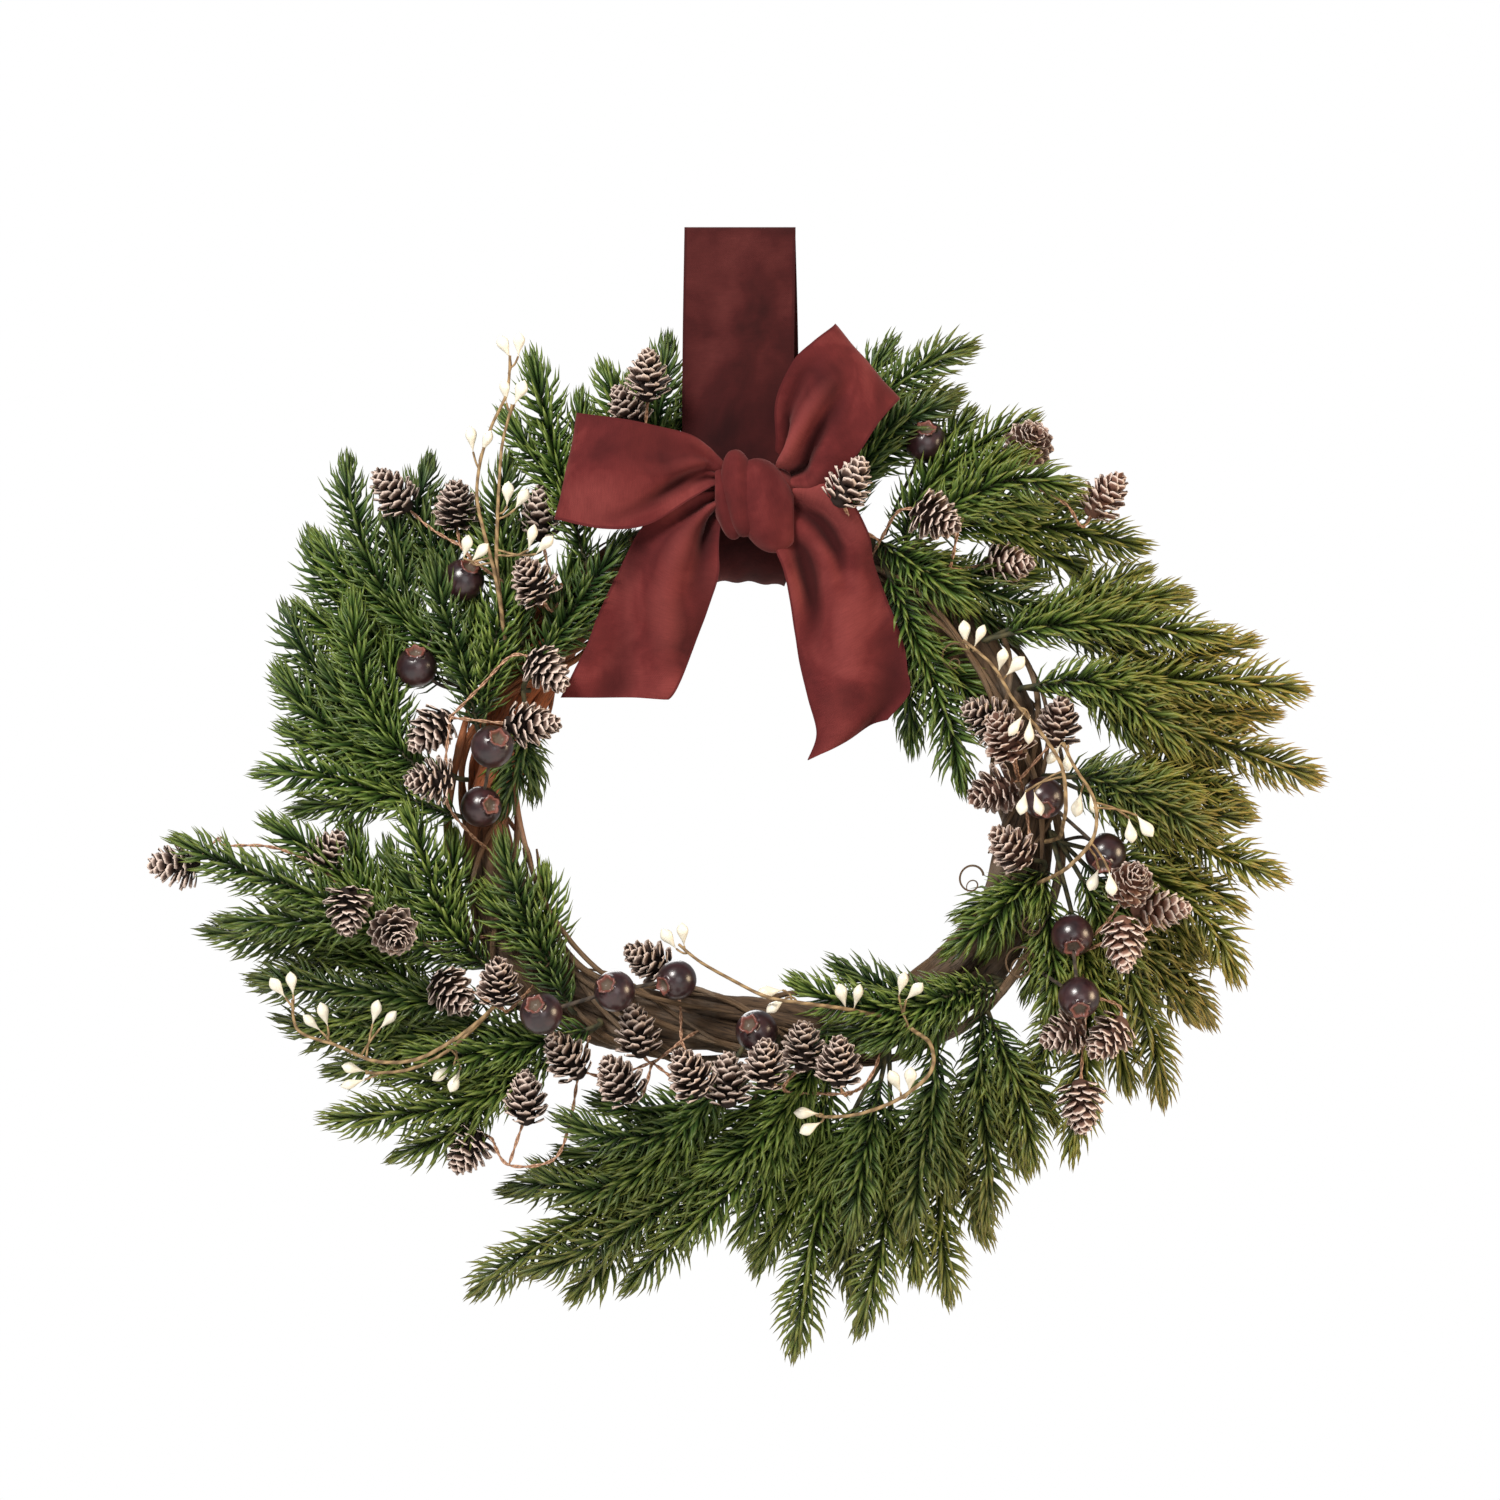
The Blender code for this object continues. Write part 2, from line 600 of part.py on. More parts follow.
def strap_front(x, z):
    """How far forward the hanging ribbon's front strand is at this place."""
    spot = pile.trees[1].ray_cast(Vector((x, -0.2, z)), Vector((0, 1, 0)))[0]
    return spot.y if spot is not None else 0.0


def build_knot(look):
    """A rounded knot whose back lies against the hanging ribbon, with the folds of the tie."""
    sides = 12
    rows = 7
    middle = at(*KNOT_MIDDLE, KNOT_DEPTH)
    verts = []
    for row in range(1, rows):
        tilt = math.pi * row / rows
        for side in range(sides):
            turn = 2 * math.pi * side / sides
            fold = 1 + 0.05 * math.cos(4 * turn + 2 * tilt)
            x = KNOT_HALF.x * math.sin(tilt) * math.cos(turn) * fold
            y = KNOT_HALF.y * math.sin(tilt) * math.sin(turn) * fold
            z = KNOT_HALF.z * math.cos(tilt)
            verts.append(middle + Vector((x + 0.12 * z, y, z)))
    verts.append(middle + Vector((0.12 * KNOT_HALF.z, 0, KNOT_HALF.z)))
    verts.append(middle - Vector((0.12 * KNOT_HALF.z, 0, KNOT_HALF.z)))
    for vert in verts:
        vert.y = min(vert.y, strap_front(vert.x, vert.z) - GAP)
    faces = []
    last = (rows - 2) * sides
    for side in range(sides):
        far = (side + 1) % sides
        faces.append((len(verts) - 2, side, far))
        faces.append((len(verts) - 1, last + far, last + side))
        for row in range(rows - 2):
            low = row * sides
            faces.append((low + side, low + sides + side, low + sides + far))
            faces.append((low + side, low + sides + far, low + far))
    made = add_object("bow_knot", verts, faces, smooth=True)
    made.data.materials.append(look)
    pile.add_tree(made)


def seat_on_knot(point):
    """A ribbon's end drawn in until it lies against the knot."""
    middle = at(*KNOT_MIDDLE, KNOT_DEPTH)
    knot = pile.trees[2]
    drawn = point.copy()
    while knot.find_nearest(drawn)[3] > GAP + RIBBON_THICKNESS / 2 + 0.25 * MM:
        drawn += (middle - drawn).normalized() * 0.1 * MM
    return drawn


def build_bow_part(name, stations, ends, look):
    """A ribbon between two edges, rounded a little across its width, with its ends at the knot."""
    first = through([at(*a, d * MM) for d, a, b in stations], 9 * MM)
    other = through([at(*b, d * MM) for d, a, b in stations], 9 * MM)
    count = 2 * len(stations)
    rows = []
    for row in range(count):
        share = row / (count - 1)
        a = first[round(share * (len(first) - 1))]
        b = other[round(share * (len(other) - 1))]
        rows.append([a, a.lerp(b, 0.5) + Vector((0, -1.5 * MM, 0)), b])
    for end in ends:
        rows[end] = [seat_on_knot(point) for point in rows[end]]
    sheet(name, rows, look)


def seat_on_ring(across, up, line):
    """The spot on the ring's front nearest to this place, and the way out of the ring there."""
    tree = pile.trees[0]
    start = at(across, up, -18 * MM)
    nearest = min(line, key=lambda p: (p.x - start.x) ** 2 + (p.z - start.z) ** 2)
    for step in range(12):
        x = start.x + (nearest.x - start.x) * step / 11
        z = start.z + (nearest.z - start.z) * step / 11
        spot, normal, _, _ = tree.ray_cast(Vector((x, -0.2, z)), Vector((0, 1, 0)))
        if spot is not None and normal.y < -0.35:
            return spot, normal
    raise ValueError("no seat on the ring")


def route(start, points, depth, tip_depth, spacing):
    """A smooth stem from a seat: points run from the far tip towards the seat."""
    spread = list(points)[::-1]
    knots = list(start)
    # one that ends well behind the ring turns back early
    early = 0.5 if tip_depth > BACK + 4 else 1.0
    for index, (across, up) in enumerate(spread):
        share = ((index + 1) / len(spread)) ** early
        knots.append(at(across, up, (depth + (tip_depth - depth) * share) * MM))
    return through(knots, spacing)


def worst_room(points, radius, owner):
    """The least room round a stem, leaving out the ring on its first stretch, where it is seated."""
    room = min(pile.room(p, owner, skip_ring=True) for p in points[:SEATED])
    return min(room, min(pile.room(p, owner) for p in points[SEATED:])) - radius


def pick_stem(owner, start, points, tip_depth):
    """The stem nearest to its wanted depth that is clear of all that is placed."""
    best = None
    for shift in (0, -3, 3, -6, 6, -9, 9, -12, 12, -16, 16, -20):
        stem = route(start, points, SEAT_DEPTH + shift / 2, tip_depth + shift, 2.5 * MM)
        room = worst_room(stem, CORE_RADIUS, owner)
        if best is None or room > best[0]:
            best = (room, stem)
        if room > STEM_ROOM:
            break
    return best[1]


def resample(points, spacing, least=1):
    """Points at even distances along a chain of points."""
    lengths = [0.0]
    for a, b in zip(points, points[1:]):
        lengths.append(lengths[-1] + (b - a).length)
    count = max(least, round(lengths[-1] / spacing))
    found = []
    place = 0
    for step in range(count + 1):
        want = lengths[-1] * step / count
        while place < len(lengths) - 2 and lengths[place + 1] < want:
            place += 1
        span = lengths[place + 1] - lengths[place]
        share = (want - lengths[place]) / span if span else 0.0
        found.append(points[place].lerp(points[place + 1], share))
    return found


# How far a wire is bowed back and aside, in millimetres, tried in this order
WIRE_BOWS = [(0, 0), (-3, 0), (3, 0), (0, 4), (0, -4), (-6, 0), (6, 0), (-5, 5), (-5, -5), (-9, 0),
             (5, 5), (5, -5), (-9, 7), (-9, -7), (-13, 0), (10, 0), (-13, 9), (-13, -9), (-18, 0),
             (-18, 10), (-18, -10), (-24, 0), (0, 12), (0, -12)]


class Needles:
    """Where needles already stand, in cells, so that no needle crosses another."""

    cell = 3.2 * MM

    def __init__(self):
        self.cells = {}

    def samples(self, root, tip):
        return [root.lerp(tip, share) for share in (0.15, 0.3, 0.45, 0.6, 0.75, 0.9, 1.0)]

    def key(self, point):
        return tuple(int(math.floor(c / self.cell)) for c in point)

    def free(self, root, tip, spray):
        for number, point in enumerate(self.samples(root, tip)):
            own_radius = 0.75 * MM * (1 - number / 7) + 0.1 * MM
            key = self.key(point)
            for dx in (-1, 0, 1):
                for dy in (-1, 0, 1):
                    for dz in (-1, 0, 1):
                        near = self.cells.get((key[0] + dx, key[1] + dy, key[2] + dz), ())
                        for other, radius, other_spray, early in near:
                            if other_spray == spray and (early or number < 3):
                                continue
                            if (other - point).length < own_radius + radius + 1.1 * MM:
                                return False
        return True

    def add(self, root, tip, spray):
        for number, point in enumerate(self.samples(root, tip)):
            radius = 0.75 * MM * (1 - number / 7) + 0.1 * MM
            self.cells.setdefault(self.key(point), []).append((point, radius, spray, number < 3))


needles = Needles()


def along_stem(stem, distance):
    """The point of a stem at this distance from its seat."""
    fine = resample(stem, 1.0 * MM)
    total = sum((b - a).length for a, b in zip(stem, stem[1:]))
    return fine[min(len(fine) - 1, round(distance / total * (len(fine) - 1)))]


def spray_solid(owner, spray, stem, bare, shoot):
    """A slim core with whorls of needles raised from its faces, leaning to its tip."""
    sides = 3
    spacing = WHORL_SPACING
    band = WHORL_BAND
    total = sum((b - a).length for a, b in zip(stem, stem[1:]))
    stops = [0.0, 2.5 * MM]
    if shoot == 0:
        stops += FORKS
    bands = []
    along = total - 3.5 * MM
    while along > bare:
        bands.append(along)
        along -= spacing
    bands = bands[::-1]
    first = bands[0] if bands else total
    plain = stops[-1] + 16 * MM
    while plain < first - band - 5 * MM:
        stops.append(plain)
        plain += 20 * MM
    marks = []
    for stop in bands:
        marks.append(len(stops))
        stops.append(stop - band / 2)
        stops.append(stop + band / 2)
    stops.append(total)
    points = [along_stem(stem, stop) for stop in stops]
    radii = [CORE_RADIUS * (1 - 0.07 * shoot)] * len(points)
    radii[1] = 0.8 * MM
    radii[-2] = 1.0 * MM
    radii[-3] = 1.1 * MM
    frames = frames_along(points)
    shape = bmesh.new()
    start = shape.verts.new(points[0])
    rings = []
    for index in range(1, len(points) - 1):
        ahead, side, up = frames[index]
        row = []
        for k in range(sides):
            turn = 2 * math.pi * (k / sides + 0.21 * (index // 2) + 0.13 * shoot)
            row.append(shape.verts.new(points[index] + radii[index]
                                       * (side * math.cos(turn) + up * math.sin(turn))))
        rings.append(row)
    end = shape.verts.new(points[-1])
    raised = []
    for k in range(sides):
        n = (k + 1) % sides
        shape.faces.new((start, rings[0][n], rings[0][k]))
        shape.faces.new((end, rings[-1][k], rings[-1][n]))
    for index in range(len(rings) - 1):
        low, high = rings[index], rings[index + 1]
        # a ring that turns against the last one joins it the short way round, or the core folds in
        turned = (index + 1) // 2 != (index + 2) // 2
        for k in range(sides):
            n = (k + 1) % sides
            one = shape.faces.new((low[k], low[n], high[k] if turned else high[n]))
            two = shape.faces.new((low[n] if turned else low[k], high[n], high[k]))
            if index + 1 in marks:
                raised.append((one, index + 1))
                raised.append((two, index + 1))
    shape.normal_update()
    kept = []
    for number, (face, index) in enumerate(raised):
        middle = face.calc_center_median()
        ahead = frames[index][0]
        out = (middle - points[index])
        out = (out - ahead * out.dot(ahead)).normalized()
        share = (index - marks[0]) / max(1, marks[-1] - marks[0])
        lean = math.radians(52 - 14 * share + 6 * math.sin(2.4 * number))
        length = NEEDLE_LENGTH * (0.85 + 0.15 * math.sin(3.1 * number) ** 2)
        for shorter in (1.0, 0.8, 0.62):
            tip = middle + length * shorter * (out * math.sin(lean) + ahead * math.cos(lean))
            if (tip - middle).dot(face.normal) < NEEDLE_RISE or not needles.free(middle, tip, spray):
                continue
            spots = [middle.lerp(tip, s) for s in (0.25, 0.5, 0.75, 1.0)]
            if min(pile.room(p, owner) for p in spots) < NEEDLE_ROOM:
                continue
            needles.add(middle, tip, spray)
            kept.append((face, tip))
            break
    for face, tip in kept:
        made = bmesh.ops.poke(shape, faces=[face])
        made["verts"][0].co = tip
    verts = [v.co.copy() for v in shape.verts]
    shape.verts.index_update()
    faces = [tuple(v.index for v in f.verts) for f in shape.faces]
    shape.free()
    return verts, faces


def plan_picks(line):
    """Spruce picks: all the stems first, so that every needle can keep clear of them."""
    planned = []
    for number, (seat, *sprays) in enumerate(PICKS):
        owner = 100 + number
        spot, normal = seat_on_ring(*seat, line)
        root = spot + normal * (GAP + 0.5 * MM)
        lift = root + normal * 7 * MM
        stems = []
        for index, (depth, *points) in enumerate(sprays):
            if index == 0:
                start = [root, lift]
            else:
                start = [along_stem(stems[0], FORKS[index - 1])]
            tip = Vector(points[0])
            inner = Vector(points[1])
            # the core ends short of the furthest needle tips
            tip -= (tip - inner).normalized() * TIP_NEEDLES
            reach = [tuple(tip)] + points[1:]
            stem = pick_stem(owner, start, reach, depth)
            stems.append(stem)
        for stem in stems:
            pile.add_balls(resample(stem, 2.0 * MM), CORE_RADIUS, owner)
        planned.append((number, owner, stems))
    return planned


def finish_picks(planned, look):
    for number, owner, stems in planned:
        parts = []
        for index, stem in enumerate(stems):
            length = sum((b - a).length for a, b in zip(stem, stem[1:]))
            bare = min(max(22 * MM, length - 78 * MM), length * 0.45)
            parts.append(spray_solid(owner, number * 10 + index, stem, bare, index))
        joined("spruce_pick_%02d" % (number + 1), parts, look)


def pointing(angle, lean):
    """The direction at this angle in the front view, leaning towards the front."""
    turn = math.radians(angle)
    tilt = math.radians(lean)
    return Vector((math.cos(turn) * math.cos(tilt), -math.sin(tilt), math.sin(turn) * math.cos(tilt)))


def cone_balls(middle, axis):
    return [(middle - axis * 6.0 * MM, CONE_RADIUS - 0.2 * MM), (middle, CONE_RADIUS + 0.7 * MM),
            (middle + axis * 6.5 * MM, CONE_RADIUS - 2.0 * MM)]


def settle(across, up, balls_for, owner, depth):
    """The middle of a piece that comes to rest against what is placed, from this depth forward."""
    for step in range(60):
        middle = at(across, up, (depth - step) * MM)
        if min(pile.room(p, owner) - r for p, r in balls_for(middle)) > PIECE_ROOM:
            return middle
    return middle


def cone_solid(middle, axis):
    """A small cone: rows of scales standing out by turns from a turned body."""
    sides = 8
    profile = [(-11.5, 7.0), (-6.5, 11.0), (0.5, 10.6), (7.5, 7.4)]
    side = axis.orthogonal().normalized()
    up = axis.cross(side)
    verts = []
    for row, (along, radius) in enumerate(profile):
        for k in range(sides):
            out = (k + row) % 2 == 0
            reach = radius * (1.04 if out else 0.74)
            push = 1.6 if out else -1.2
            turn = 2 * math.pi * k / sides
            verts.append(middle + MM * ((along + push) * axis
                                        + reach * (side * math.cos(turn) + up * math.sin(turn))))
    verts.append(middle - axis * CONE_LENGTH / 2)
    verts.append(middle + axis * CONE_LENGTH / 2)
    faces = []
    last = (len(profile) - 1) * sides
    for k in range(sides):
        n = (k + 1) % sides
        faces.append((len(verts) - 2, n, k))
        faces.append((len(verts) - 1, last + k, last + n))
        for row in range(len(profile) - 1):
            low = row * sides
            faces.append((low + k, low + n, low + sides + n))
            faces.append((low + k, low + sides + n, low + sides + k))
    return verts, faces


def clear_wire(start, ends, radius, owner, step, least=1):
    """A thin stem through the given points, bowed forward or aside until it is clear."""
    across = (ends[-1] - start[0]).cross(Vector((0, 1, 0))).normalized()
    best = None
    for bow, aside in WIRE_BOWS:
        moved = Vector((0, bow * MM, 0)) + across * aside * MM
        middle = (start[-1] if len(ends) == 1 else ends[-2]).lerp(ends[-1], 0.5)
        knots = list(start) + [point + moved for point in ends[:-1]] + [middle + moved, ends[-1]]
        chain = resample(through(knots, 1.5 * MM), step, least)
        fine = resample(chain, 1.5 * MM)
        room = min(pile.room(p, owner, skip_ring=True) for p in fine) - radius
        if len(fine) > SEATED + 1:
            room = min(room, min(pile.room(p, owner) for p in fine[SEATED:]) - radius)
        if best is None or room > best[0]:
            best = (room, chain)
        if room > WIRE_ROOM:
            break
    return best[1]


def wire_solid(chain, radius):
    """A thin three-sided tube through a chain of points, pointed just at its two ends."""
    first = (chain[1] - chain[0]).normalized()
    last = (chain[-2] - chain[-1]).normalized()
    points = [chain[0], chain[0] + first * radius, *chain[1:-1], chain[-1] + last * radius, chain[-1]]
    return tube(points, radius, 3)


def plan_cones():
    """Cones settle from the back of the dress to its front, in the order of the sprigs."""
    planned = []
    for number, (seat, depth, cones, via) in enumerate(CONE_SPRIGS):
        owner = 300 + number
        placed = []
        for index, (across, up, angle, lean) in enumerate(cones):
            axis = pointing(angle, lean)
            single = 1000 + number * 20 + index
            middle = settle(across, up, lambda m: cone_balls(m, axis), single, depth + CONE_BEHIND)
            for point, radius in cone_balls(middle, axis):
                pile.add_balls([point], radius, single)
            placed.append((middle, axis, single))
        planned.append((owner, placed, seat, [at(x, z, depth * MM) for x, z in via]))
    return planned


def settle_own(planned):
    """Gives a sprig's cones to its one owner, so that its own wire may reach them."""
    for owner, placed, *_ in planned:
        for middle, axis, single in placed:
            pile.owners = [owner if o == single else o for o in pile.owners]
    pile.balls = (np.array(pile.middles), np.array(pile.radii), np.array(pile.owners))


def build_cones(planned, line, look):
    """A sprig's main wire runs from the ring to its last cone, and the others branch from it."""
    for number, (owner, placed, seat, ends) in enumerate(planned):
        spot, normal = seat_on_ring(*seat, line)
        root = spot + normal * (GAP + 0.4 * MM)
        lift = root + normal * 4 * MM
        parts = [cone_solid(middle, axis) for middle, axis, single in placed]
        bases = [middle - axis * 8 * MM for middle, axis, single in placed]
        behind = [middle - axis * 17 * MM for middle, axis, single in placed]
        nearest = ends[-1] if ends else lift
        order = sorted(range(len(bases)), key=lambda i: (bases[i] - nearest).length)
        main = order[0]
        trunk = clear_wire([root, lift], ends + [behind[main], bases[main]], WIRE_RADIUS, owner, 19 * MM, 3)
        parts.append(wire_solid(trunk, WIRE_RADIUS))
        pile.add_balls(resample(trunk, 1.5 * MM), WIRE_RADIUS, owner)
        for index in order[1:]:
            near = min(trunk[1:-1], key=lambda p: (p - behind[index]).length)
            wire = clear_wire([near], [behind[index], bases[index]], WIRE_RADIUS, owner, 22 * MM)
            parts.append(wire_solid(wire, WIRE_RADIUS))
            pile.add_balls(resample(wire, 1.5 * MM), WIRE_RADIUS, owner)
        joined("cone_sprig_%02d" % (number + 1), parts, look)


def berry_solid(middle, axis):
    """A round berry with a raised crown round a small pit."""
    sides = 8
    side = axis.orthogonal().normalized()
    up = axis.cross(side)
    profile = [(-0.72, 0.69), (0.0, 1.0), (0.66, 0.75), (1.0, 0.40)]
    verts = []
    for along, radius in profile:
        for k in range(sides):
            turn = 2 * math.pi * k / sides
            verts.append(middle + BERRY_RADIUS * (along * axis
                                                  + radius * (side * math.cos(turn) + up * math.sin(turn))))
    verts.append(middle - axis * BERRY_RADIUS)
    verts.append(middle + axis * BERRY_RADIUS * 0.74)
    faces = []
    last = (len(profile) - 1) * sides
    for k in range(sides):
        n = (k + 1) % sides
        faces.append((len(verts) - 2, n, k))
        faces.append((len(verts) - 1, last + k, last + n))
        for row in range(len(profile) - 1):
            low = row * sides
            faces.append((low + k, low + n, low + sides + n))
            faces.append((low + k, low + sides + n, low + sides + k))
    return verts, faces


def plan_berries():
    planned = []
    for number, group in enumerate(BERRY_GROUPS):
        owner = 500 + number
        placed = []
        for index, (across, up, angle, lean) in enumerate(group):
            axis = pointing(angle, lean)
            single = 2000 + number * 20 + index
            middle = settle(across, up, lambda m: [(m, BERRY_RADIUS + 0.2 * MM)], single, BERRY_START)
            pile.add_balls([middle], BERRY_RADIUS, single)
            placed.append((middle, axis, single))
        planned.append((owner, placed))
    return planned


def build_berries(planned, line, look):
    """Berries of a group hang on one dark stem from the ring."""
    for number, (owner, placed) in enumerate(planned):
        parts = [berry_solid(middle, axis) for middle, axis, single in placed]
        middle = placed[-1][0]
        place = (middle - RING_CENTRE) / MM
        spot, normal = seat_on_ring(place.x, place.z, line)
        root = spot + normal * (GAP + 0.5 * MM)
        lift = root + normal * 3 * MM
        start = [root, lift]
        for middle, axis, single in placed[::-1]:
            inner = middle + Vector((0, 3 * MM, 0))
            stem = clear_wire(start, [inner], 0.8 * MM, owner, 14 * MM)
            parts.append(wire_solid(stem, 0.8 * MM))
            pile.add_balls(resample(stem, 1.5 * MM), 0.8 * MM, owner)
            start = [inner]
        joined("berries_%02d" % (number + 1), parts, look)


def pip_solid(stem, base, axis):
    """A teardrop, round at its far end, whose thin tail runs into the stem."""
    sides = 4
    side = axis.orthogonal().normalized()
    up = axis.cross(side)
    towards = (base - stem).normalized()
    verts = []
    for place, radius in ((stem + towards * 0.3 * MM, 0.27), (base + axis * PIP_LENGTH * 0.68, 1.0)):
        for k in range(sides):
            turn = 2 * math.pi * k / sides
            verts.append(place + PIP_RADIUS * radius * (side * math.cos(turn) + up * math.sin(turn)))
    verts.append(stem - towards * 0.3 * MM)
    verts.append(base + axis * PIP_LENGTH)
    faces = []
    for k in range(sides):
        n = (k + 1) % sides
        faces.append((len(verts) - 2, n, k))
        faces.append((len(verts) - 1, sides + k, sides + n))
        faces.append((k, n, sides + n))
        faces.append((k, sides + n, sides + k))
    return verts, faces


def build_pips(line, look):
    """Pips stand in pairs, each on its own tail from its own spot on a stem."""
    for number, (seat, depth, stems, pips) in enumerate(PIP_SPRIGS):
        owner = 700 + number
        spot, normal = seat_on_ring(*seat, line)
        root = spot + normal * (GAP + 0.6 * MM)
        lift = root + normal * 8 * MM
        parts = []
        spots_left = []
        branch = None
        for index, points in enumerate(stems):
            start = [root, lift] if index == 0 else [branch]
            ends = [at(x, z, depth * MM) for x, z in points[::-1]]
            stem = clear_wire(start, ends, PIP_STEM_RADIUS, owner, 17 * MM)
            parts.append(wire_solid(stem, PIP_STEM_RADIUS))
            pile.add_balls(resample(stem, 1.5 * MM), PIP_STEM_RADIUS, owner)
            spots_left += resample(stem, 0.8 * MM)[4:-3]
            branch = stem[1]
        for across, up, angle in pips:
            wanted = at(across, up, depth * MM)
            tail = wanted - pointing(angle, 12) * (PIP_LENGTH / 2 + 5 * MM)
            for turn in (-14, 16):
                axis = pointing(angle + turn, 12)
                apart = pointing(angle + math.copysign(90, turn), 0) * 1.7 * MM
                base = wanted - pointing(angle, 12) * PIP_LENGTH / 2 + apart
                for step in range(25):
                    spots = [base + axis * PIP_LENGTH * s for s in (0.1, 0.45, 0.8, 1.0)]
                    if min(pile.room(p, owner) for p in spots) > PIP_RADIUS + PIECE_ROOM:
                        break
                    base.y -= 1 * MM
                best = None
                for near in sorted(spots_left, key=lambda p: (p - tail).length)[:24]:
                    room = min(pile.room(p, owner) for p in resample([near, base], 1.5 * MM)[1:])
                    if best is None or room > best[0]:
                        best = (room, near)
                    if room > 1.2 * MM:
                        break
                near = best[1]
                spots_left = [p for p in spots_left if (p - near).length > 2.2 * MM]
                parts.append(pip_solid(near, base, axis))
                pile.add_balls(spots, PIP_RADIUS, owner)
                pile.add_balls(resample([near, base], 1.5 * MM), 0.7 * MM, owner)
        joined("pip_sprig_%02d" % (number + 1), parts, look)


def main():
    for old in list(bpy.data.objects):
        bpy.data.objects.remove(old)
    bark = material("vine_bark", (0.16, 0.10, 0.07), 0.9)
    ribbon = material("ribbon_cloth", (0.20, 0.03, 0.03), 0.85)
    green = material("spruce_green", (0.06, 0.13, 0.04), 0.6)
    brown = material("cone_brown", (0.25, 0.17, 0.14), 0.8)
    berry = material("berry_dark", (0.05, 0.025, 0.035), 0.35)
    cream = material("pip_cream", (0.85, 0.80, 0.66), 0.3)
    ring, line = build_ring(bark)
    build_strap(ring, line, ribbon)
    build_knot(ribbon)
    build_bow_part("bow_loop_left", LEFT_LOOP, (0, -1), ribbon)
    build_bow_part("bow_loop_right", RIGHT_LOOP, (0, -1), ribbon)
    build_bow_part("bow_tail_left", LEFT_TAIL, (0,), ribbon)
    build_bow_part("bow_tail_right", RIGHT_TAIL, (0,), ribbon)
    picks = plan_picks(line)
    cones = plan_cones()
    berries = plan_berries()
    settle_own(cones)
    settle_own(berries)
    build_cones(cones, line, brown)
    build_berries(berries, line, berry)
    build_pips(line, cream)
    finish_picks(picks, green)


main()
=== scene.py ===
import json
import math
import random

import bmesh
import bpy
import numpy as np
from mathutils import Matrix, Vector, noise
from mathutils.bvhtree import BVHTree

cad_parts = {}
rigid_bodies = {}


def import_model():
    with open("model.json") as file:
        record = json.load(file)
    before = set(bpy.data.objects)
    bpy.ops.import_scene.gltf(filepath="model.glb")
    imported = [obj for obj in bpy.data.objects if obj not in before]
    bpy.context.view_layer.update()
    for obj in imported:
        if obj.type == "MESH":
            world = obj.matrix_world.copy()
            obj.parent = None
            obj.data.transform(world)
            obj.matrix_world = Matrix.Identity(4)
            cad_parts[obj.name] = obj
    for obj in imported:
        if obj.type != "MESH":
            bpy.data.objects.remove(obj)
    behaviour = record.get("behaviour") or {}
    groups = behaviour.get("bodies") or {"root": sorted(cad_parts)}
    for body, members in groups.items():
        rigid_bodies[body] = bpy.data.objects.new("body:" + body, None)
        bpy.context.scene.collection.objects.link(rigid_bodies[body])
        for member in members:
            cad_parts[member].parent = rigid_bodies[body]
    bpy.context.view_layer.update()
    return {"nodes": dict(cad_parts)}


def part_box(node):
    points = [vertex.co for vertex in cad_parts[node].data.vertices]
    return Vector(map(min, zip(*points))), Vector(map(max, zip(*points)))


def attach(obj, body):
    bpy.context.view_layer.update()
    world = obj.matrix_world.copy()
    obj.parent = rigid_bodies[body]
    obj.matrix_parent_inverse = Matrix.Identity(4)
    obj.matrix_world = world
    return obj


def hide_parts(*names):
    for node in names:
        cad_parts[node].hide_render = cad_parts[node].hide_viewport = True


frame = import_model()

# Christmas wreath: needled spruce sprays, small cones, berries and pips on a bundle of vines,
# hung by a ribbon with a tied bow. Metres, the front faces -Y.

mm = 0.001
goldenTurn = 2.39996  # radians, as leaves and scales stand round a stem
solids = frame["nodes"]

print("wreath: laying out the dress")

# The layout is the one that the solids follow. Places are millimetres across and up from the
# ring's centre, as the front view shows them, and depths are behind the ring's middle plane.
layout = {
    "ringCentre": Vector((7.5, 0.0, -249.5)) * mm,
    "viewDistance": 1875.0 * mm,
    "viewMiddle": (-3.0, 14.5),
    "gap": 0.35 * mm,
    "coreRadius": 1.5 * mm,
    "seatDepth": -24,
    "seated": 4,
    "tipNeedles": 9,
    "stemRoom": 0.9 * mm,
    "wireRoom": 0.4 * mm,
    "pieceRoom": 0.5 * mm,
    "forks": (5.5 * mm, 9.0 * mm, 13.0 * mm),
    "coneBehind": 12,
    "berryStart": -14,
    "coneRadius": 11.5 * mm,
    "berryRadius": 9.5 * mm,
    "pipLength": 10.5 * mm,
    "pipRadius": 2.4 * mm,
    "pipStemRadius": 1.0 * mm,
    "wireRadius": 0.65 * mm,
    "ribbonThickness": 0.8 * mm,
}
back, middleDepth, front = 8, -10, -30

ringLinePlaces = [
    (0, 108), (67, 87), (111, 37), (121, -22), (100, -78), (55, -108),
    (-26, -110), (-89, -94), (-116, -49), (-119, 5), (-93, 64), (-48, 99),
]

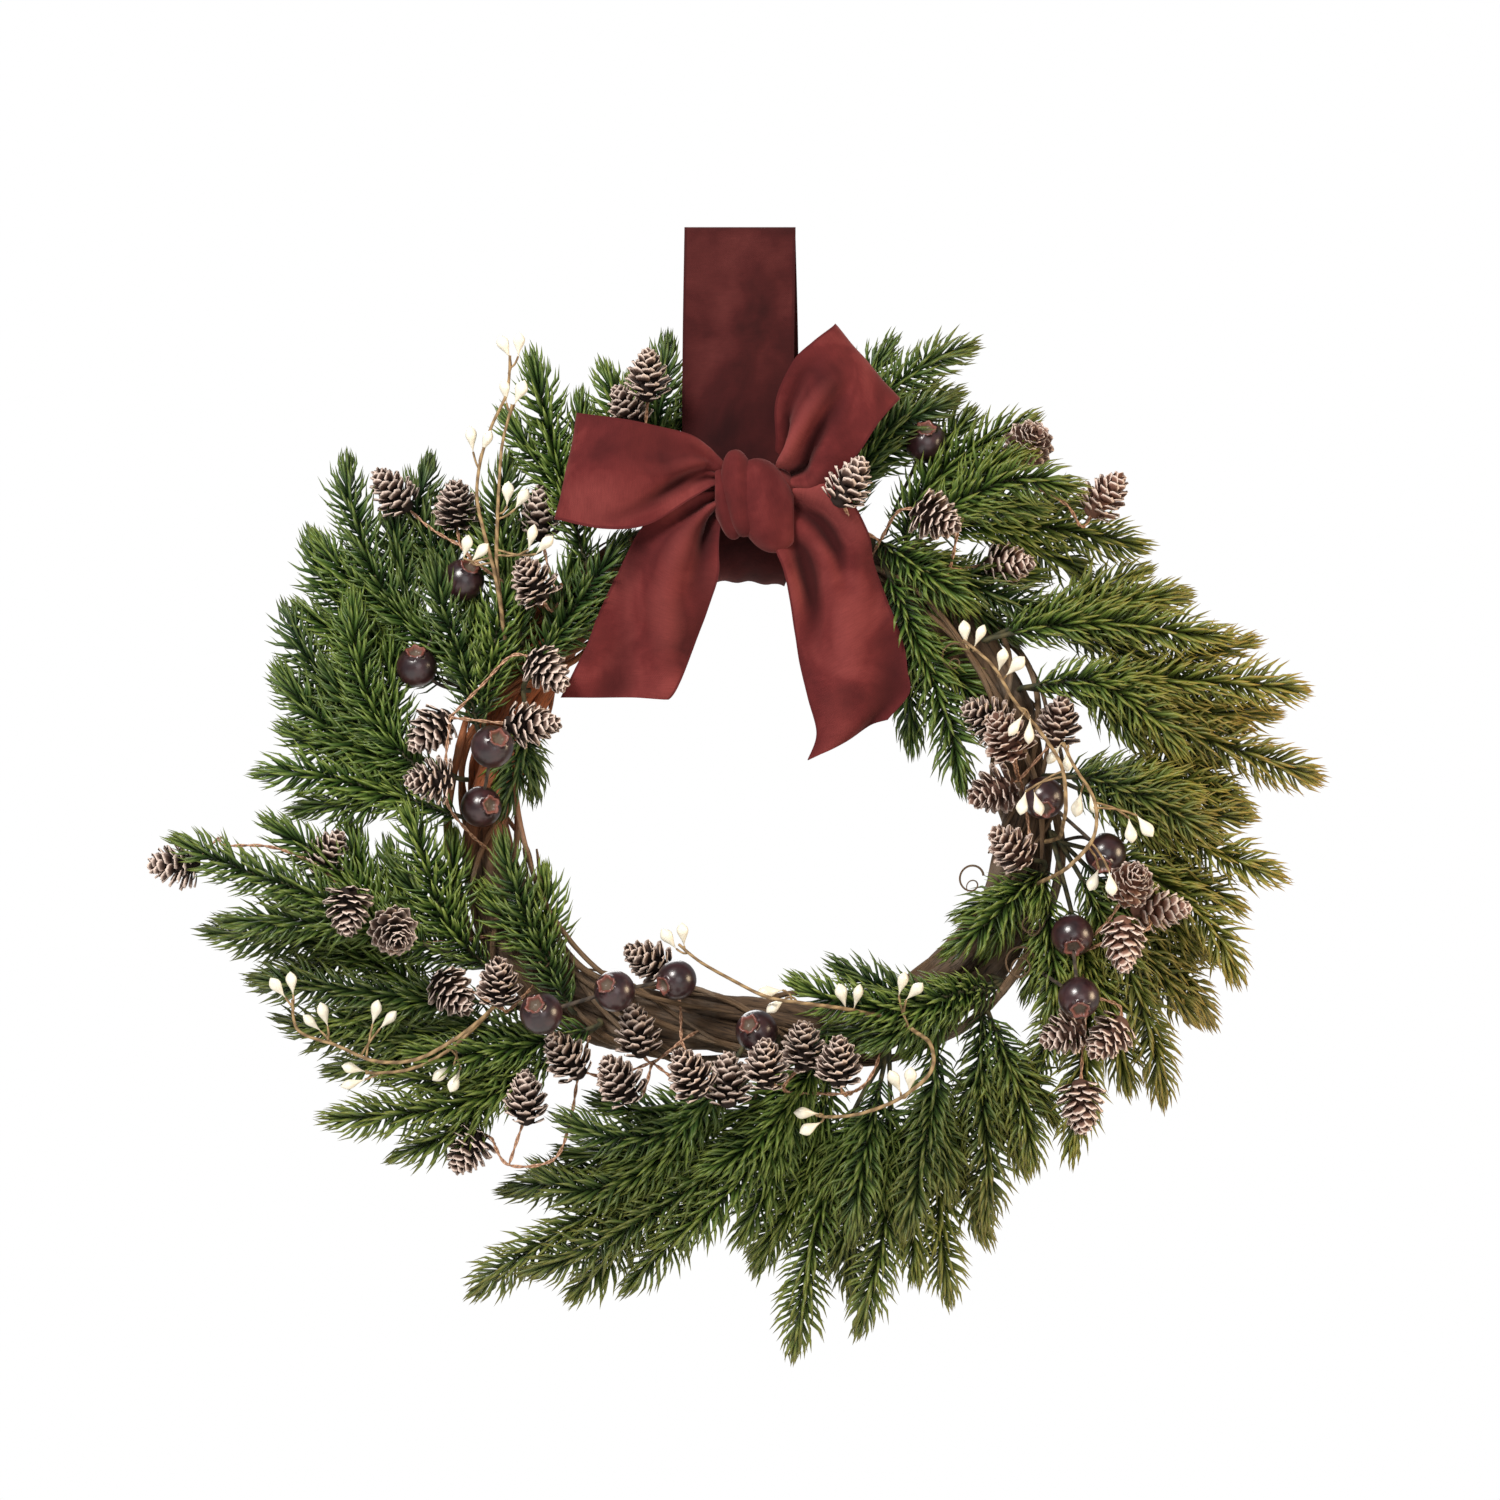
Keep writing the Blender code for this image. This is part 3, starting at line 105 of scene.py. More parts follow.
# Each pick has its seat on the ring, then one (depth, points from tip to seat) for each spray.
pickPlaces = [
    ((-44, 112), (14, (-40, 203), (-43, 172), (-46, 145)), (16, (-71, 191), (-61, 165), (-52, 140))),
    ((-74, 94), (middleDepth, (-102, 195), (-95, 165), (-85, 127))),
    ((-104, 64), (middleDepth, (-111, 149), (-116, 118), (-112, 91)),
     (back, (-147, 149), (-152, 116), (-134, 86))),
    ((-121, 39), (middleDepth, (-185, 149), (-182, 122), (-165, 82)),
     (back, (-203, 116), (-190, 84), (-161, 55))),
    ((-130, 1), (front, (-182, 87), (-180, 59), (-171, 30), (-154, 8)),
     (back, (-214, 82), (-201, 55), (-174, 26)), (middleDepth, (-217, 54), (-197, 28), (-167, 10))),
    ((-120, 19), (front, (-148, 102), (-140, 75), (-131, 50)),
     (-24, (-108, 96), (-116, 73), (-120, 46))),
    ((-102, 41), (-22, (-57, 113), (-74, 90), (-89, 68)),
     (-22, (-116, -17), (-108, 3), (-104, 23))),
    ((-129, -15), (middleDepth, (-228, 5), (-197, 3), (-163, -6))),
    ((-113, -82), (front, (-159, -9), (-149, -35), (-139, -64)),
     (middleDepth, (-185, -15), (-178, -40), (-156, -69))),
    ((-82, -100), (front, (-116, -22), (-109, -46), (-99, -71))),
    ((-116, -78), (middleDepth, (-264, -24), (-233, -39), (-201, -50), (-161, -69)),
     (-4, (-251, -66), (-219, -70), (-188, -72), (-152, -79))),
    ((-102, -96), (middleDepth, (-230, -88), (-206, -91), (-179, -94), (-143, -98)),
     (back, (-218, -106), (-183, -114), (-143, -114))),
    ((-71, -107), (front, (-161, -121), (-134, -123), (-102, -118)),
     (middleDepth, (-197, -152), (-170, -150), (-138, -146), (-107, -134))),
    ((-3, -114), (front, (-92, -150), (-62, -160), (-30, -152)),
     (middleDepth, (-103, -172), (-78, -184), (-44, -170))),
    ((9, -114), (12, (-131, -232), (-107, -214), (-71, -193), (-30, -161)),
     (-8, (-106, -222), (-68, -206), (-18, -172))),
    ((33, -112), (front, (-27, -177), (-3, -163), (19, -139)),
     (middleDepth, (-49, -209), (-23, -194), (10, -157)), (back, (-4, -216), (15, -193), (28, -157))),
    ((58, -116), (back, (16, -261), (21, -233), (27, -199), (42, -152)),
     (middleDepth, (45, -250), (51, -229), (58, -195), (60, -152)),
     (front, (42, -206), (47, -175), (54, -143))),
    ((80, -103), (back, (87, -237), (83, -206), (81, -166), (81, -134)),
     (front, (67, -206), (74, -170), (80, -139))),
    ((98, -91), (middleDepth, (103, -202), (104, -170), (101, -132)),
     (-22, (125, -176), (119, -143), (109, -116))),
    ((105, -87), (front, (47, -121), (69, -109), (89, -98)),
     (-24, (13, -88), (37, -99), (67, -102), (87, -96))),
    ((125, -35), (-26, (83, -79), (103, -64), (116, -51)), (front, (125, -62), (128, -49)),
     (-22, (132, -114), (134, -85), (131, -58))),
    ((132, -26), (middleDepth, (184, -147), (177, -112), (161, -71)),
     (-16, (141, -172), (146, -134), (148, -89)),
     (back, (207, -112), (190, -85), (163, -53)),
     (middleDepth, (219, -91), (202, -62), (168, -37))),
    ((130, 1), (middleDepth, (239, -44), (211, -33), (172, -15)),
     (back, (226, -14), (202, -4), (163, 3)), (front, (208, -27), (181, -10), (154, 1))),
    ((118, 41), (front, (194, 11), (177, 30), (152, 45)),
     (back, (256, 0), (226, 11), (190, 24), (154, 37)), (-4, (250, 41), (213, 45), (168, 46))),
    ((105, 64), (-16, (216, 64), (186, 68), (145, 72)), (back, (198, 84), (172, 80), (136, 77))),
    ((50, 105), (front, (99, 77), (78, 93)), (middleDepth, (145, 74), (118, 80), (87, 93)),
     (-24, (94, -6), (85, 30), (67, 75))),
    ((35, 105), (back, (101, 198), (76, 188), (51, 167), (40, 136)),
     (middleDepth, (92, 173), (73, 166), (51, 149))),
    ((62, 98), (middleDepth, (127, 166), (94, 147), (71, 125)),
     (front, (148, 132), (114, 136), (85, 122)), (back, (178, 105), (136, 114), (96, 116))),
]

# Each cone is (across, up, which way its tip points, how far it leans to the front, both in degrees).
# Each sprig has its seat, its wire's depth, its cones and the places that its wire passes.
coneSprigPlaces = [
    ((-97, 78), -26, [(-164, 131, 130, 15), (-135, 125, 90, 25)], [(-125, 98)]),
    ((-83, 82), -26, [(-97, 121, 90, 20), (-101, 91, 120, 25)], []),
    ((-120, -31), -26, [(-94, 50, 315, 20), (-101, 26, 0, 20), (-147, 23, 225, 20), (-147, 1, 180, 20)],
     [(-133, -4), (-130, 28)]),
    ((-120, -69), -26, [(-262, -37, 180, 10), (-193, -32, 55, 20), (-184, -58, 270, 20),
                   (-163, -68, 300, 65)],
     [(-161, -82), (-194, -55), (-215, -42), (-246, -40)]),
    ((-100, -91), -26, [(-137, -95, 315, 25), (-116, -90, 90, 25)], []),
    ((-75, -114), -26, [(-104, -142, 90, 20), (-130, -166, 235, 20)],
     [(-82, -139), (-89, -168), (-116, -171)]),
    ((-26, -112), -26,
     [(-54, -112, 100, 10), (-13, -134, 90, 10), (-86, -123, 125, 25), (-62, -134, 120, 25),
      (-30, -131, 120, 25), (-49, -80, 150, 30)], []),
    ((51, -112), -26, [(21, -119, 90, 15), (4, -127, 90, 25), (37, -126, 90, 25)],
     [(55, -130), (42, -139), (10, -139)]),
    ((-56, 104), -12, [(-58, 168, 120, 15), (-49, 183, 90, 20)], [(-57, 130)]),
    ((51, 100), -26, [(42, 135, 60, 10), (81, 119, 330, 25)], []),
    ((78, 82), -26, [(113, 98, 0, 25), (123, 153, 60, 65), (157, 129, 50, 20)],
     [(90, 104), (96, 129), (130, 132), (145, 116)]),
    ((121, -4), -26, [(103, 29, 150, 15), (112, 21, 120, 25), (136, 27, 80, 25), (106, -4, 200, 25),
                 (114, -29, 135, 25)], []),
    ((122, -52), -22, [(182, -57, 0, 15), (138, -113, 200, 15), (169, -45, 60, 65), (165, -73, 270, 25),
                  (158, -115, 225, 20), (146, -146, 270, 20)], [(150, -84)]),
]

# Berries are (across, up, which way the crown points, how far it leans to the front).
berryPlaces = [
    [(-132, 91, 60, 40), (-153, 52, 90, 40)],
    [(-119, 16, 50, 55), (-124, -11, 10, 55)],
    [(-97, -104, 120, 55), (-64, -94, 135, 55), (-36, -89, 200, 40)],
    [(0, -112, 135, 55)],
    [(76, 153, 90, 50)],
    [(129, -7, 270, 55), (157, -32, 250, 50)],
    [(142, -69, 270, 55), (145, -97, 270, 55)],
]

# Pips are in pairs at (across, up, which way they point). Each stem is a route from its free end.
pipSprigPlaces = [
    ((-110, 58), -36, [[(-111, 192), (-111, 179), (-120, 158), (-126, 130), (-117, 90)],
                    [(-110, 170), (-112, 127), (-113, 100)]],
     [(-110, 196, 100), (-110, 175, 80), (-125, 153, 80), (-109, 128, 70), (-128, 104, 60),
      (-98, 107, 60)]),
    ((-108, -88), -34, [[(-209, -98), (-206, -104), (-185, -112), (-161, -119), (-130, -104)],
                     [(-176, -131), (-156, -129), (-135, -118)]],
     [(-212, -92, 110), (-197, -107, 120), (-169, -106, 60), (-181, -132, 180), (-138, -132, 230)]),
    ((66, -104), -44, [[(-35, -73), (-33, -76), (4, -96), (30, -100)],
                    [(27, -150), (46, -147), (67, -138), (80, -121)]],
     [(-36, -70, 110), (8, -97, 200), (42, -97, 90), (68, -93, 60), (24, -152, 190),
      (66, -135, 100)]),
    ((128, -27), -54, [[(93, 64), (109, 37), (130, 10), (134, -12)]],
     [(97, 66, 80), (113, 53, 60), (119, 25, 250), (123, -9, 270)]),
    ((123, -48), -50, [[(138, 17), (154, 0), (160, -20), (148, -38)]],
     [(137, 12, 250), (148, -9, 270), (171, -20, 290), (155, -44, 260)]),
]

# How far a wire is bowed back and aside, in millimetres, tried in this order
wireBows = [(0, 0), (-3, 0), (3, 0), (0, 4), (0, -4), (-6, 0), (6, 0), (-5, 5), (-5, -5), (-9, 0),
             (5, 5), (5, -5), (-9, 7), (-9, -7), (-13, 0), (10, 0), (-13, 9), (-13, -9), (-18, 0),
             (-18, 10), (-18, -10), (-24, 0), (0, 12), (0, -12)]


def held(value, low=0.0, high=1.0):
    return max(low, min(high, value))


def place(across, up, depth):
    # the point that the front view shows at across and up, at this depth in metres
    grow = 1 + depth / layout["viewDistance"]
    middle = layout["viewMiddle"]
    x = middle[0] + (across - middle[0]) * grow
    z = middle[1] + (up - middle[1]) * grow
    return layout["ringCentre"] + Vector((x * mm, depth, z * mm))


def smoothThrough(points, spacing, closed=False):
    count = len(points)
    found = []
    for i in range(count if closed else count - 1):
        if closed:
            a, b, c, d = [points[(i + k) % count] for k in (-1, 0, 1, 2)]
        else:
            a, b, c, d = [points[min(max(i + k, 0), count - 1)] for k in (-1, 0, 1, 2)]
        steps = max(1, round((c - b).length / spacing))
        for j in range(steps):
            t = j / steps
            found.append(0.5 * (2 * b + (c - a) * t + (2 * a - 5 * b + 4 * c - d) * t * t
                                + (3 * b - a - 3 * c + d) * t ** 3))
    if not closed:
        found.append(points[-1].copy())
    return found


def runLength(points):
    return sum((b - a).length for a, b in zip(points, points[1:]))


def evenly(points, spacing, least=1):
    # points at even distances along a chain of points
    lengths = [0.0]
    for a, b in zip(points, points[1:]):
        lengths.append(lengths[-1] + (b - a).length)
    count = max(least, round(lengths[-1] / spacing))
    found = []
    spot = 0
    for step in range(count + 1):
        want = lengths[-1] * step / count
        while spot < len(lengths) - 2 and lengths[spot + 1] < want:
            spot += 1
        span = lengths[spot + 1] - lengths[spot]
        share = (want - lengths[spot]) / span if span else 0.0
        found.append(points[spot].lerp(points[spot + 1], share))
    return found


def alongStem(stem, distance):
    fine = evenly(stem, 1.0 * mm)
    return fine[min(len(fine) - 1, round(distance / runLength(stem) * (len(fine) - 1)))]


def turningFrames(points):
    # a direction and two sideways directions at each point, turning as little as possible
    frames = []
    side = None
    for i in range(len(points)):
        ahead = (points[min(i + 1, len(points) - 1)] - points[max(i - 1, 0)]).normalized()
        if side is None:
            side = ahead.orthogonal()
        side = (side - ahead * side.dot(ahead)).normalized()
        frames.append((ahead, side, ahead.cross(side)))
    return frames


def pointing(angle, lean):
    turn = math.radians(angle)
    tilt = math.radians(lean)
    return Vector((math.cos(turn) * math.cos(tilt), -math.sin(tilt), math.sin(turn) * math.cos(tilt)))


class Dress:
    # what already stands in the wreath, so that the next piece lands clear of it

    def __init__(self):
        self.middles, self.radii, self.owners, self.balls = [], [], [], None
        self.trees = []
        for name in ("vine_ring", "hanging_ribbon", "bow_knot", "bow_loop_left", "bow_loop_right",
                     "bow_tail_left", "bow_tail_right"):
            mesh = solids[name].data
            self.trees.append(BVHTree.FromPolygons([v.co.copy() for v in mesh.vertices],
                                                   [tuple(p.vertices) for p in mesh.polygons]))

    def addBalls(self, points, radius, owner):
        for point in points:
            self.middles.append(tuple(point))
            self.radii.append(radius)
            self.owners.append(owner)
        self.balls = (np.array(self.middles), np.array(self.radii), np.array(self.owners))

    def room(self, point, owner, skipRing=False):
        best = 1.0
        for tree in self.trees[1 if skipRing else 0:]:
            spot, normal, _, distance = tree.find_nearest(point)
            if tree is self.trees[0] and (point - spot).dot(normal) < 0:
                distance = -distance
            best = min(best, distance)
        if self.balls is not None:
            middles, radii, owners = self.balls
            others = owners != owner
            if others.any():
                away = np.linalg.norm(middles[others] - np.array(point), axis=1) - radii[others]
                best = min(best, float(away.min()))
        return best


dress = Dress()
ringLine = smoothThrough([place(x, z, 0.0) for x, z in ringLinePlaces], 1 * mm, closed=True)
for down in range(40, 122, 6):  # the gap inside the hanging ribbon stays free
    dress.addBalls([Vector((x * mm, 0, -down * mm)) for x in range(-22, 23, 4)], 7 * mm, -1)


def seatOnRing(across, up):
    start = place(across, up, -18 * mm)
    nearest = min(ringLine, key=lambda p: (p.x - start.x) ** 2 + (p.z - start.z) ** 2)
    for step in range(12):
        x = start.x + (nearest.x - start.x) * step / 11
        z = start.z + (nearest.z - start.z) * step / 11
        spot, normal, _, _ = dress.trees[0].ray_cast(Vector((x, -0.2, z)), Vector((0, 1, 0)))
        if spot is not None and normal.y < -0.35:
            return spot, normal
    raise ValueError("no seat on the ring")


def stemRoute(start, points, depth, tipDepth, spacing):
    spread = list(points)[::-1]
    knots = list(start)
    early = 0.5 if tipDepth > back + 4 else 1.0
    for index, (across, up) in enumerate(spread):
        share = ((index + 1) / len(spread)) ** early
        knots.append(place(across, up, (depth + (tipDepth - depth) * share) * mm))
    return smoothThrough(knots, spacing)


def clearStem(owner, start, points, tipDepth):
    best = None
    seated = layout["seated"]
    for shift in (0, -3, 3, -6, 6, -9, 9, -12, 12, -16, 16, -20):
        stem = stemRoute(start, points, layout["seatDepth"] + shift / 2, tipDepth + shift, 2.5 * mm)
        room = min(dress.room(p, owner, skipRing=True) for p in stem[:seated])
        room = min(room, min(dress.room(p, owner) for p in stem[seated:])) - layout["coreRadius"]
        if best is None or room > best[0]:
            best = (room, stem)
        if room > layout["stemRoom"]:
            break
    return best[1]


def planPicks():
    planned = []
    for number, (seat, *sprays) in enumerate(pickPlaces):
        owner = 100 + number
        spot, normal = seatOnRing(*seat)
        root = spot + normal * (layout["gap"] + 0.5 * mm)
        stems = []
        for index, (depth, *points) in enumerate(sprays):
            start = [root, root + normal * 7 * mm]
            if index:
                start = [alongStem(stems[0], layout["forks"][index - 1])]
            tip, inner = Vector(points[0]), Vector(points[1])
            tip -= (tip - inner).normalized() * layout["tipNeedles"]
            stems.append(clearStem(owner, start, [tuple(tip)] + points[1:], depth))
        for stem in stems:
            dress.addBalls(evenly(stem, 2.0 * mm), layout["coreRadius"], owner)
        planned.append(stems)
    return planned


def settle(across, up, ballsFor, owner, depth):
    for step in range(60):
        middle = place(across, up, (depth - step) * mm)
        if min(dress.room(p, owner) - r for p, r in ballsFor(middle)) > layout["pieceRoom"]:
            return middle
    return middle


def coneBalls(middle, axis):
    radius = layout["coneRadius"]
    return [(middle - axis * 6.0 * mm, radius - 0.2 * mm), (middle, radius + 0.7 * mm),
            (middle + axis * 6.5 * mm, radius - 2.0 * mm)]


def planCones():
    planned = []
    for number, (seat, depth, cones, via) in enumerate(coneSprigPlaces):
        placed = []
        for index, (across, up, angle, lean) in enumerate(cones):
            axis = pointing(angle, lean)
            single = 1000 + number * 20 + index
            middle = settle(across, up, lambda m: coneBalls(m, axis), single, depth + layout["coneBehind"])
            for point, radius in coneBalls(middle, axis):
                dress.addBalls([point], radius, single)
            placed.append((middle, axis, single))
        planned.append((300 + number, placed, seat, [place(x, z, depth * mm) for x, z in via]))
    return planned


def planBerries():
    planned = []
    for number, group in enumerate(berryPlaces):
        placed = []
        for index, (across, up, angle, lean) in enumerate(group):
            axis = pointing(angle, lean)
            single = 2000 + number * 20 + index
            middle = settle(across, up, lambda m: [(m, layout["berryRadius"] + 0.2 * mm)], single,
                            layout["berryStart"])
            dress.addBalls([middle], layout["berryRadius"], single)
            placed.append((middle, axis, single))
        planned.append((500 + number, placed))
    return planned


def settleOwn(planned):
    for owner, placed, *_ in planned:
        for *_, single in placed:
            dress.owners = [owner if o == single else o for o in dress.owners]
    dress.balls = (np.array(dress.middles), np.array(dress.radii), np.array(dress.owners))


def clearWire(start, ends, radius, owner, step, least=1):
    across = (ends[-1] - start[0]).cross(Vector((0, 1, 0))).normalized()
    best = None
    seated = layout["seated"]
    for bow, aside in wireBows:
        moved = Vector((0, bow * mm, 0)) + across * aside * mm
        middle = (start[-1] if len(ends) == 1 else ends[-2]).lerp(ends[-1], 0.5)
        knots = list(start) + [point + moved for point in ends[:-1]] + [middle + moved, ends[-1]]
        chain = evenly(smoothThrough(knots, 1.5 * mm), step, least)
        fine = evenly(chain, 1.5 * mm)
        room = min(dress.room(p, owner, skipRing=True) for p in fine) - radius
        if len(fine) > seated + 1:
            room = min(room, min(dress.room(p, owner) for p in fine[seated:]) - radius)
        if best is None or room > best[0]:
            best = (room, chain)
        if room > layout["wireRoom"]:
            break
    return best[1]


def planConeWires(planned):
    wires = []
    thin = layout["wireRadius"]
    for owner, placed, seat, ends in planned:
        spot, normal = seatOnRing(*seat)
        root = spot + normal * (layout["gap"] + 0.4 * mm)
        lift = root + normal * 4 * mm
        bases = [middle - axis * 8 * mm for middle, axis, _ in placed]
        behind = [middle - axis * 17 * mm for middle, axis, _ in placed]
        nearest = ends[-1] if ends else lift
        order = sorted(range(len(bases)), key=lambda i: (bases[i] - nearest).length)
        main = order[0]
        trunk = clearWire([root, lift], ends + [behind[main], bases[main]], thin, owner, 19 * mm, 3)
        chains = [trunk]
        dress.addBalls(evenly(trunk, 1.5 * mm), thin, owner)
        for index in order[1:]:
            near = min(trunk[1:-1], key=lambda p: (p - behind[index]).length)
            wire = clearWire([near], [behind[index], bases[index]], thin, owner, 22 * mm)
            chains.append(wire)
            dress.addBalls(evenly(wire, 1.5 * mm), thin, owner)
        wires.append(chains)
    return wires


def planBerryStems(planned):
    found = []
    for owner, placed in planned:
        middle = placed[-1][0]
        spotPlace = (middle - layout["ringCentre"]) / mm
        spot, normal = seatOnRing(spotPlace.x, spotPlace.z)
        root = spot + normal * (layout["gap"] + 0.5 * mm)
        start = [root, root + normal * 3 * mm]
        chains = []
        for middle, *_ in placed[::-1]:
            inner = middle + Vector((0, 3 * mm, 0))
            stem = clearWire(start, [inner], 0.8 * mm, owner, 14 * mm)
            chains.append(stem)
            dress.addBalls(evenly(stem, 1.5 * mm), 0.8 * mm, owner)
            start = [inner]
        found.append(chains)
    return found


def planPips():
    found = []
    stemRadius, pipRadius, pipLength = (layout[k] for k in ("pipStemRadius", "pipRadius", "pipLength"))
    for number, (seat, depth, stems, pips) in enumerate(pipSprigPlaces):
        owner = 700 + number
        spot, normal = seatOnRing(*seat)
        root = spot + normal * (layout["gap"] + 0.6 * mm)
        chains, drops, spotsLeft = [], [], []
        branch = None
        for index, points in enumerate(stems):
            start = [root, root + normal * 8 * mm] if index == 0 else [branch]
            ends = [place(x, z, depth * mm) for x, z in points[::-1]]
            stem = clearWire(start, ends, stemRadius, owner, 17 * mm)
            chains.append(stem)
            dress.addBalls(evenly(stem, 1.5 * mm), stemRadius, owner)
            spotsLeft += evenly(stem, 0.8 * mm)[4:-3]
            branch = stem[1]
        for across, up, angle in pips:
            wanted = place(across, up, depth * mm)
            tail = wanted - pointing(angle, 12) * (pipLength / 2 + 5 * mm)
            for turn in (-14, 16):
                axis = pointing(angle + turn, 12)
                apart = pointing(angle + math.copysign(90, turn), 0) * 1.7 * mm
                base = wanted - pointing(angle, 12) * pipLength / 2 + apart
                for step in range(25):
                    spots = [base + axis * pipLength * s for s in (0.1, 0.45, 0.8, 1.0)]
                    if min(dress.room(p, owner) for p in spots) > pipRadius + layout["pieceRoom"]:
                        break
                    base.y -= 1 * mm
                best = None
                for near in sorted(spotsLeft, key=lambda p: (p - tail).length)[:24]:
                    room = min(dress.room(p, owner) for p in evenly([near, base], 1.5 * mm)[1:])
                    if best is None or room > best[0]:
                        best = (room, near)
                    if room > 1.2 * mm:
                        break
                near = best[1]
                spotsLeft = [p for p in spotsLeft if (p - near).length > 2.2 * mm]
                drops.append((near, base.copy(), axis))
                dress.addBalls(spots, pipRadius, owner)
                dress.addBalls(evenly([near, base], 1.5 * mm), 0.7 * mm, owner)
        found.append((chains, drops))
    return found


pickStems = planPicks()
coneSprigs = planCones()
berryGroups = planBerries()
settleOwn(coneSprigs)
settleOwn(berryGroups)
coneWires = planConeWires(coneSprigs)
berryStems = planBerryStems(berryGroups)
pipSprigs = planPips()

print("wreath: mixing the finishes")


def put(tree, kind, settings=None, feeds=None):
    # one node, with its settings and what feeds its sockets
    made = tree.nodes.new(kind)
    for name, value in (settings or {}).items():
        setattr(made, name, value)
    for socket, value in (feeds or {}).items():
        if isinstance(value, bpy.types.NodeSocket):
            tree.links.new(value, made.inputs[socket])
        else:
            made.inputs[socket].default_value = value
    return made


def reckon(tree, operation, a, b=0.0, clamp=False):
    return put(tree, "ShaderNodeMath", {"operation": operation, "use_clamp": clamp}, {0: a, 1: b}).outputs[0]


def newFinish(name, roughness, **constants):
    made = bpy.data.materials.new(name)
    made.use_nodes = True
    tree = made.node_tree
    shader = tree.nodes["Principled BSDF"]
    shader.inputs["Roughness"].default_value = roughness
    for socket, value in constants.items():
        shader.inputs[socket.replace("_", " ")].default_value = value
    return made, tree, shader


def mixed(tree, amount, dark, light):
    made = put(tree, "ShaderNodeMix", {"data_type": "RGBA"})
    for index, value in ((0, amount), (6, dark), (7, light)):
        if isinstance(value, bpy.types.NodeSocket):
            tree.links.new(value, made.inputs[index])
        elif index:
            made.inputs[index].default_value = (*value, 1.0)
        else:
            made.inputs[index].default_value = value
    return made.outputs[2]


def spread(tree, value, low, high, newLow=0.0, newHigh=1.0):
    made = put(tree, "ShaderNodeMapRange", {}, {0: value, 1: low, 2: high, 3: newLow, 4: newHigh})
    return made.outputs[0]


def read(tree, name, output="Fac"):
    return put(tree, "ShaderNodeAttribute", {"attribute_name": name}).outputs[output]


def speckle(tree, vector, scale, detail=2.0, roughness=0.5, distortion=0.0):
    feeds = {"Scale": scale, "Detail": detail, "Roughness": roughness, "Distortion": distortion}
    if vector is not None:
        feeds["Vector"] = vector
    return put(tree, "ShaderNodeTexNoise", {}, feeds).outputs[0]


def objectSpot(tree):
    return put(tree, "ShaderNodeTexCoord").outputs["Object"]


def joinedSpot(tree, x=0.0, y=0.0, z=0.0):
    return put(tree, "ShaderNodeCombineXYZ", {}, {0: x, 1: y, 2: z}).outputs[0]


def summed(tree, a, b):
    return put(tree, "ShaderNodeVectorMath", {"operation": "ADD"}, {0: a, 1: b}).outputs[0]


def scaled(tree, vector, by):
    return put(tree, "ShaderNodeVectorMath", {"operation": "SCALE"}, {0: vector, "Scale": by}).outputs[0]


def bumped(tree, shader, height, strength, distance):
    bump = put(tree, "ShaderNodeBump", {}, {"Height": height, "Strength": strength, "Distance": distance})
    tree.links.new(bump.outputs[0], shader.inputs["Normal"])


def needleFinish():
    made, tree, shader = newFinish("spruceNeedle", 0.42, Specular_IOR_Level=0.4)
    shade = {"root": (0.006, 0.020, 0.005), "body": (0.030, 0.085, 0.014), "tip": (0.19, 0.25, 0.040),
             "warmLitGold": (0.27, 0.215, 0.03), "warmLitGoldTip": (0.42, 0.225, 0.045), "blue": (0.010, 0.040, 0.014)}
    spot = objectSpot(tree)
    along, tint = read(tree, "along"), read(tree, "tint")
    patch = speckle(tree, spot, 14.0, 3.0)
    # painted shade and light: each needle is coloured near black at its root, for the shade between the
    # needles, and light yellow-green toward its tip, a painted highlight
    green = mixed(tree, spread(tree, along, 0.0, 0.45), shade["root"], shade["body"])
    green = mixed(tree, spread(tree, tint, 0.0, 0.5, 0.75, 0.0), green, shade["blue"])
    tipHighlightAmount = reckon(tree, "MULTIPLY", spread(tree, along, 0.3, 1.0),
                       spread(tree, tint, 0.1, 0.9, 0.35, 1.0))
    green = mixed(tree, reckon(tree, "MULTIPLY", tipHighlightAmount, spread(tree, patch, 0.3, 0.7, 0.5, 1.0)), green,
                  shade["tip"])
    # painted warm light: the sprays at the right and round the outer edge are coloured golden at their ends,
    # as if a warm light from the right falls on them
    gilt = read(tree, "gilt")
    warmLitGold = mixed(tree, spread(tree, along, 0.45, 1.0), shade["warmLitGold"], shade["warmLitGoldTip"])
    needleWarmLightAmount = reckon(tree, "MULTIPLY", gilt, spread(tree, along, 0.1, 0.9, 0.25, 1.0))
    tree.links.new(mixed(tree, needleWarmLightAmount, green, warmLitGold), shader.inputs["Base Color"])
    tree.links.new(spread(tree, patch, 0.2, 0.8, 0.36, 0.52), shader.inputs["Roughness"])
    bumped(tree, shader, speckle(tree, spot, 900.0, 2.0), 0.15, 0.0004)
    return made


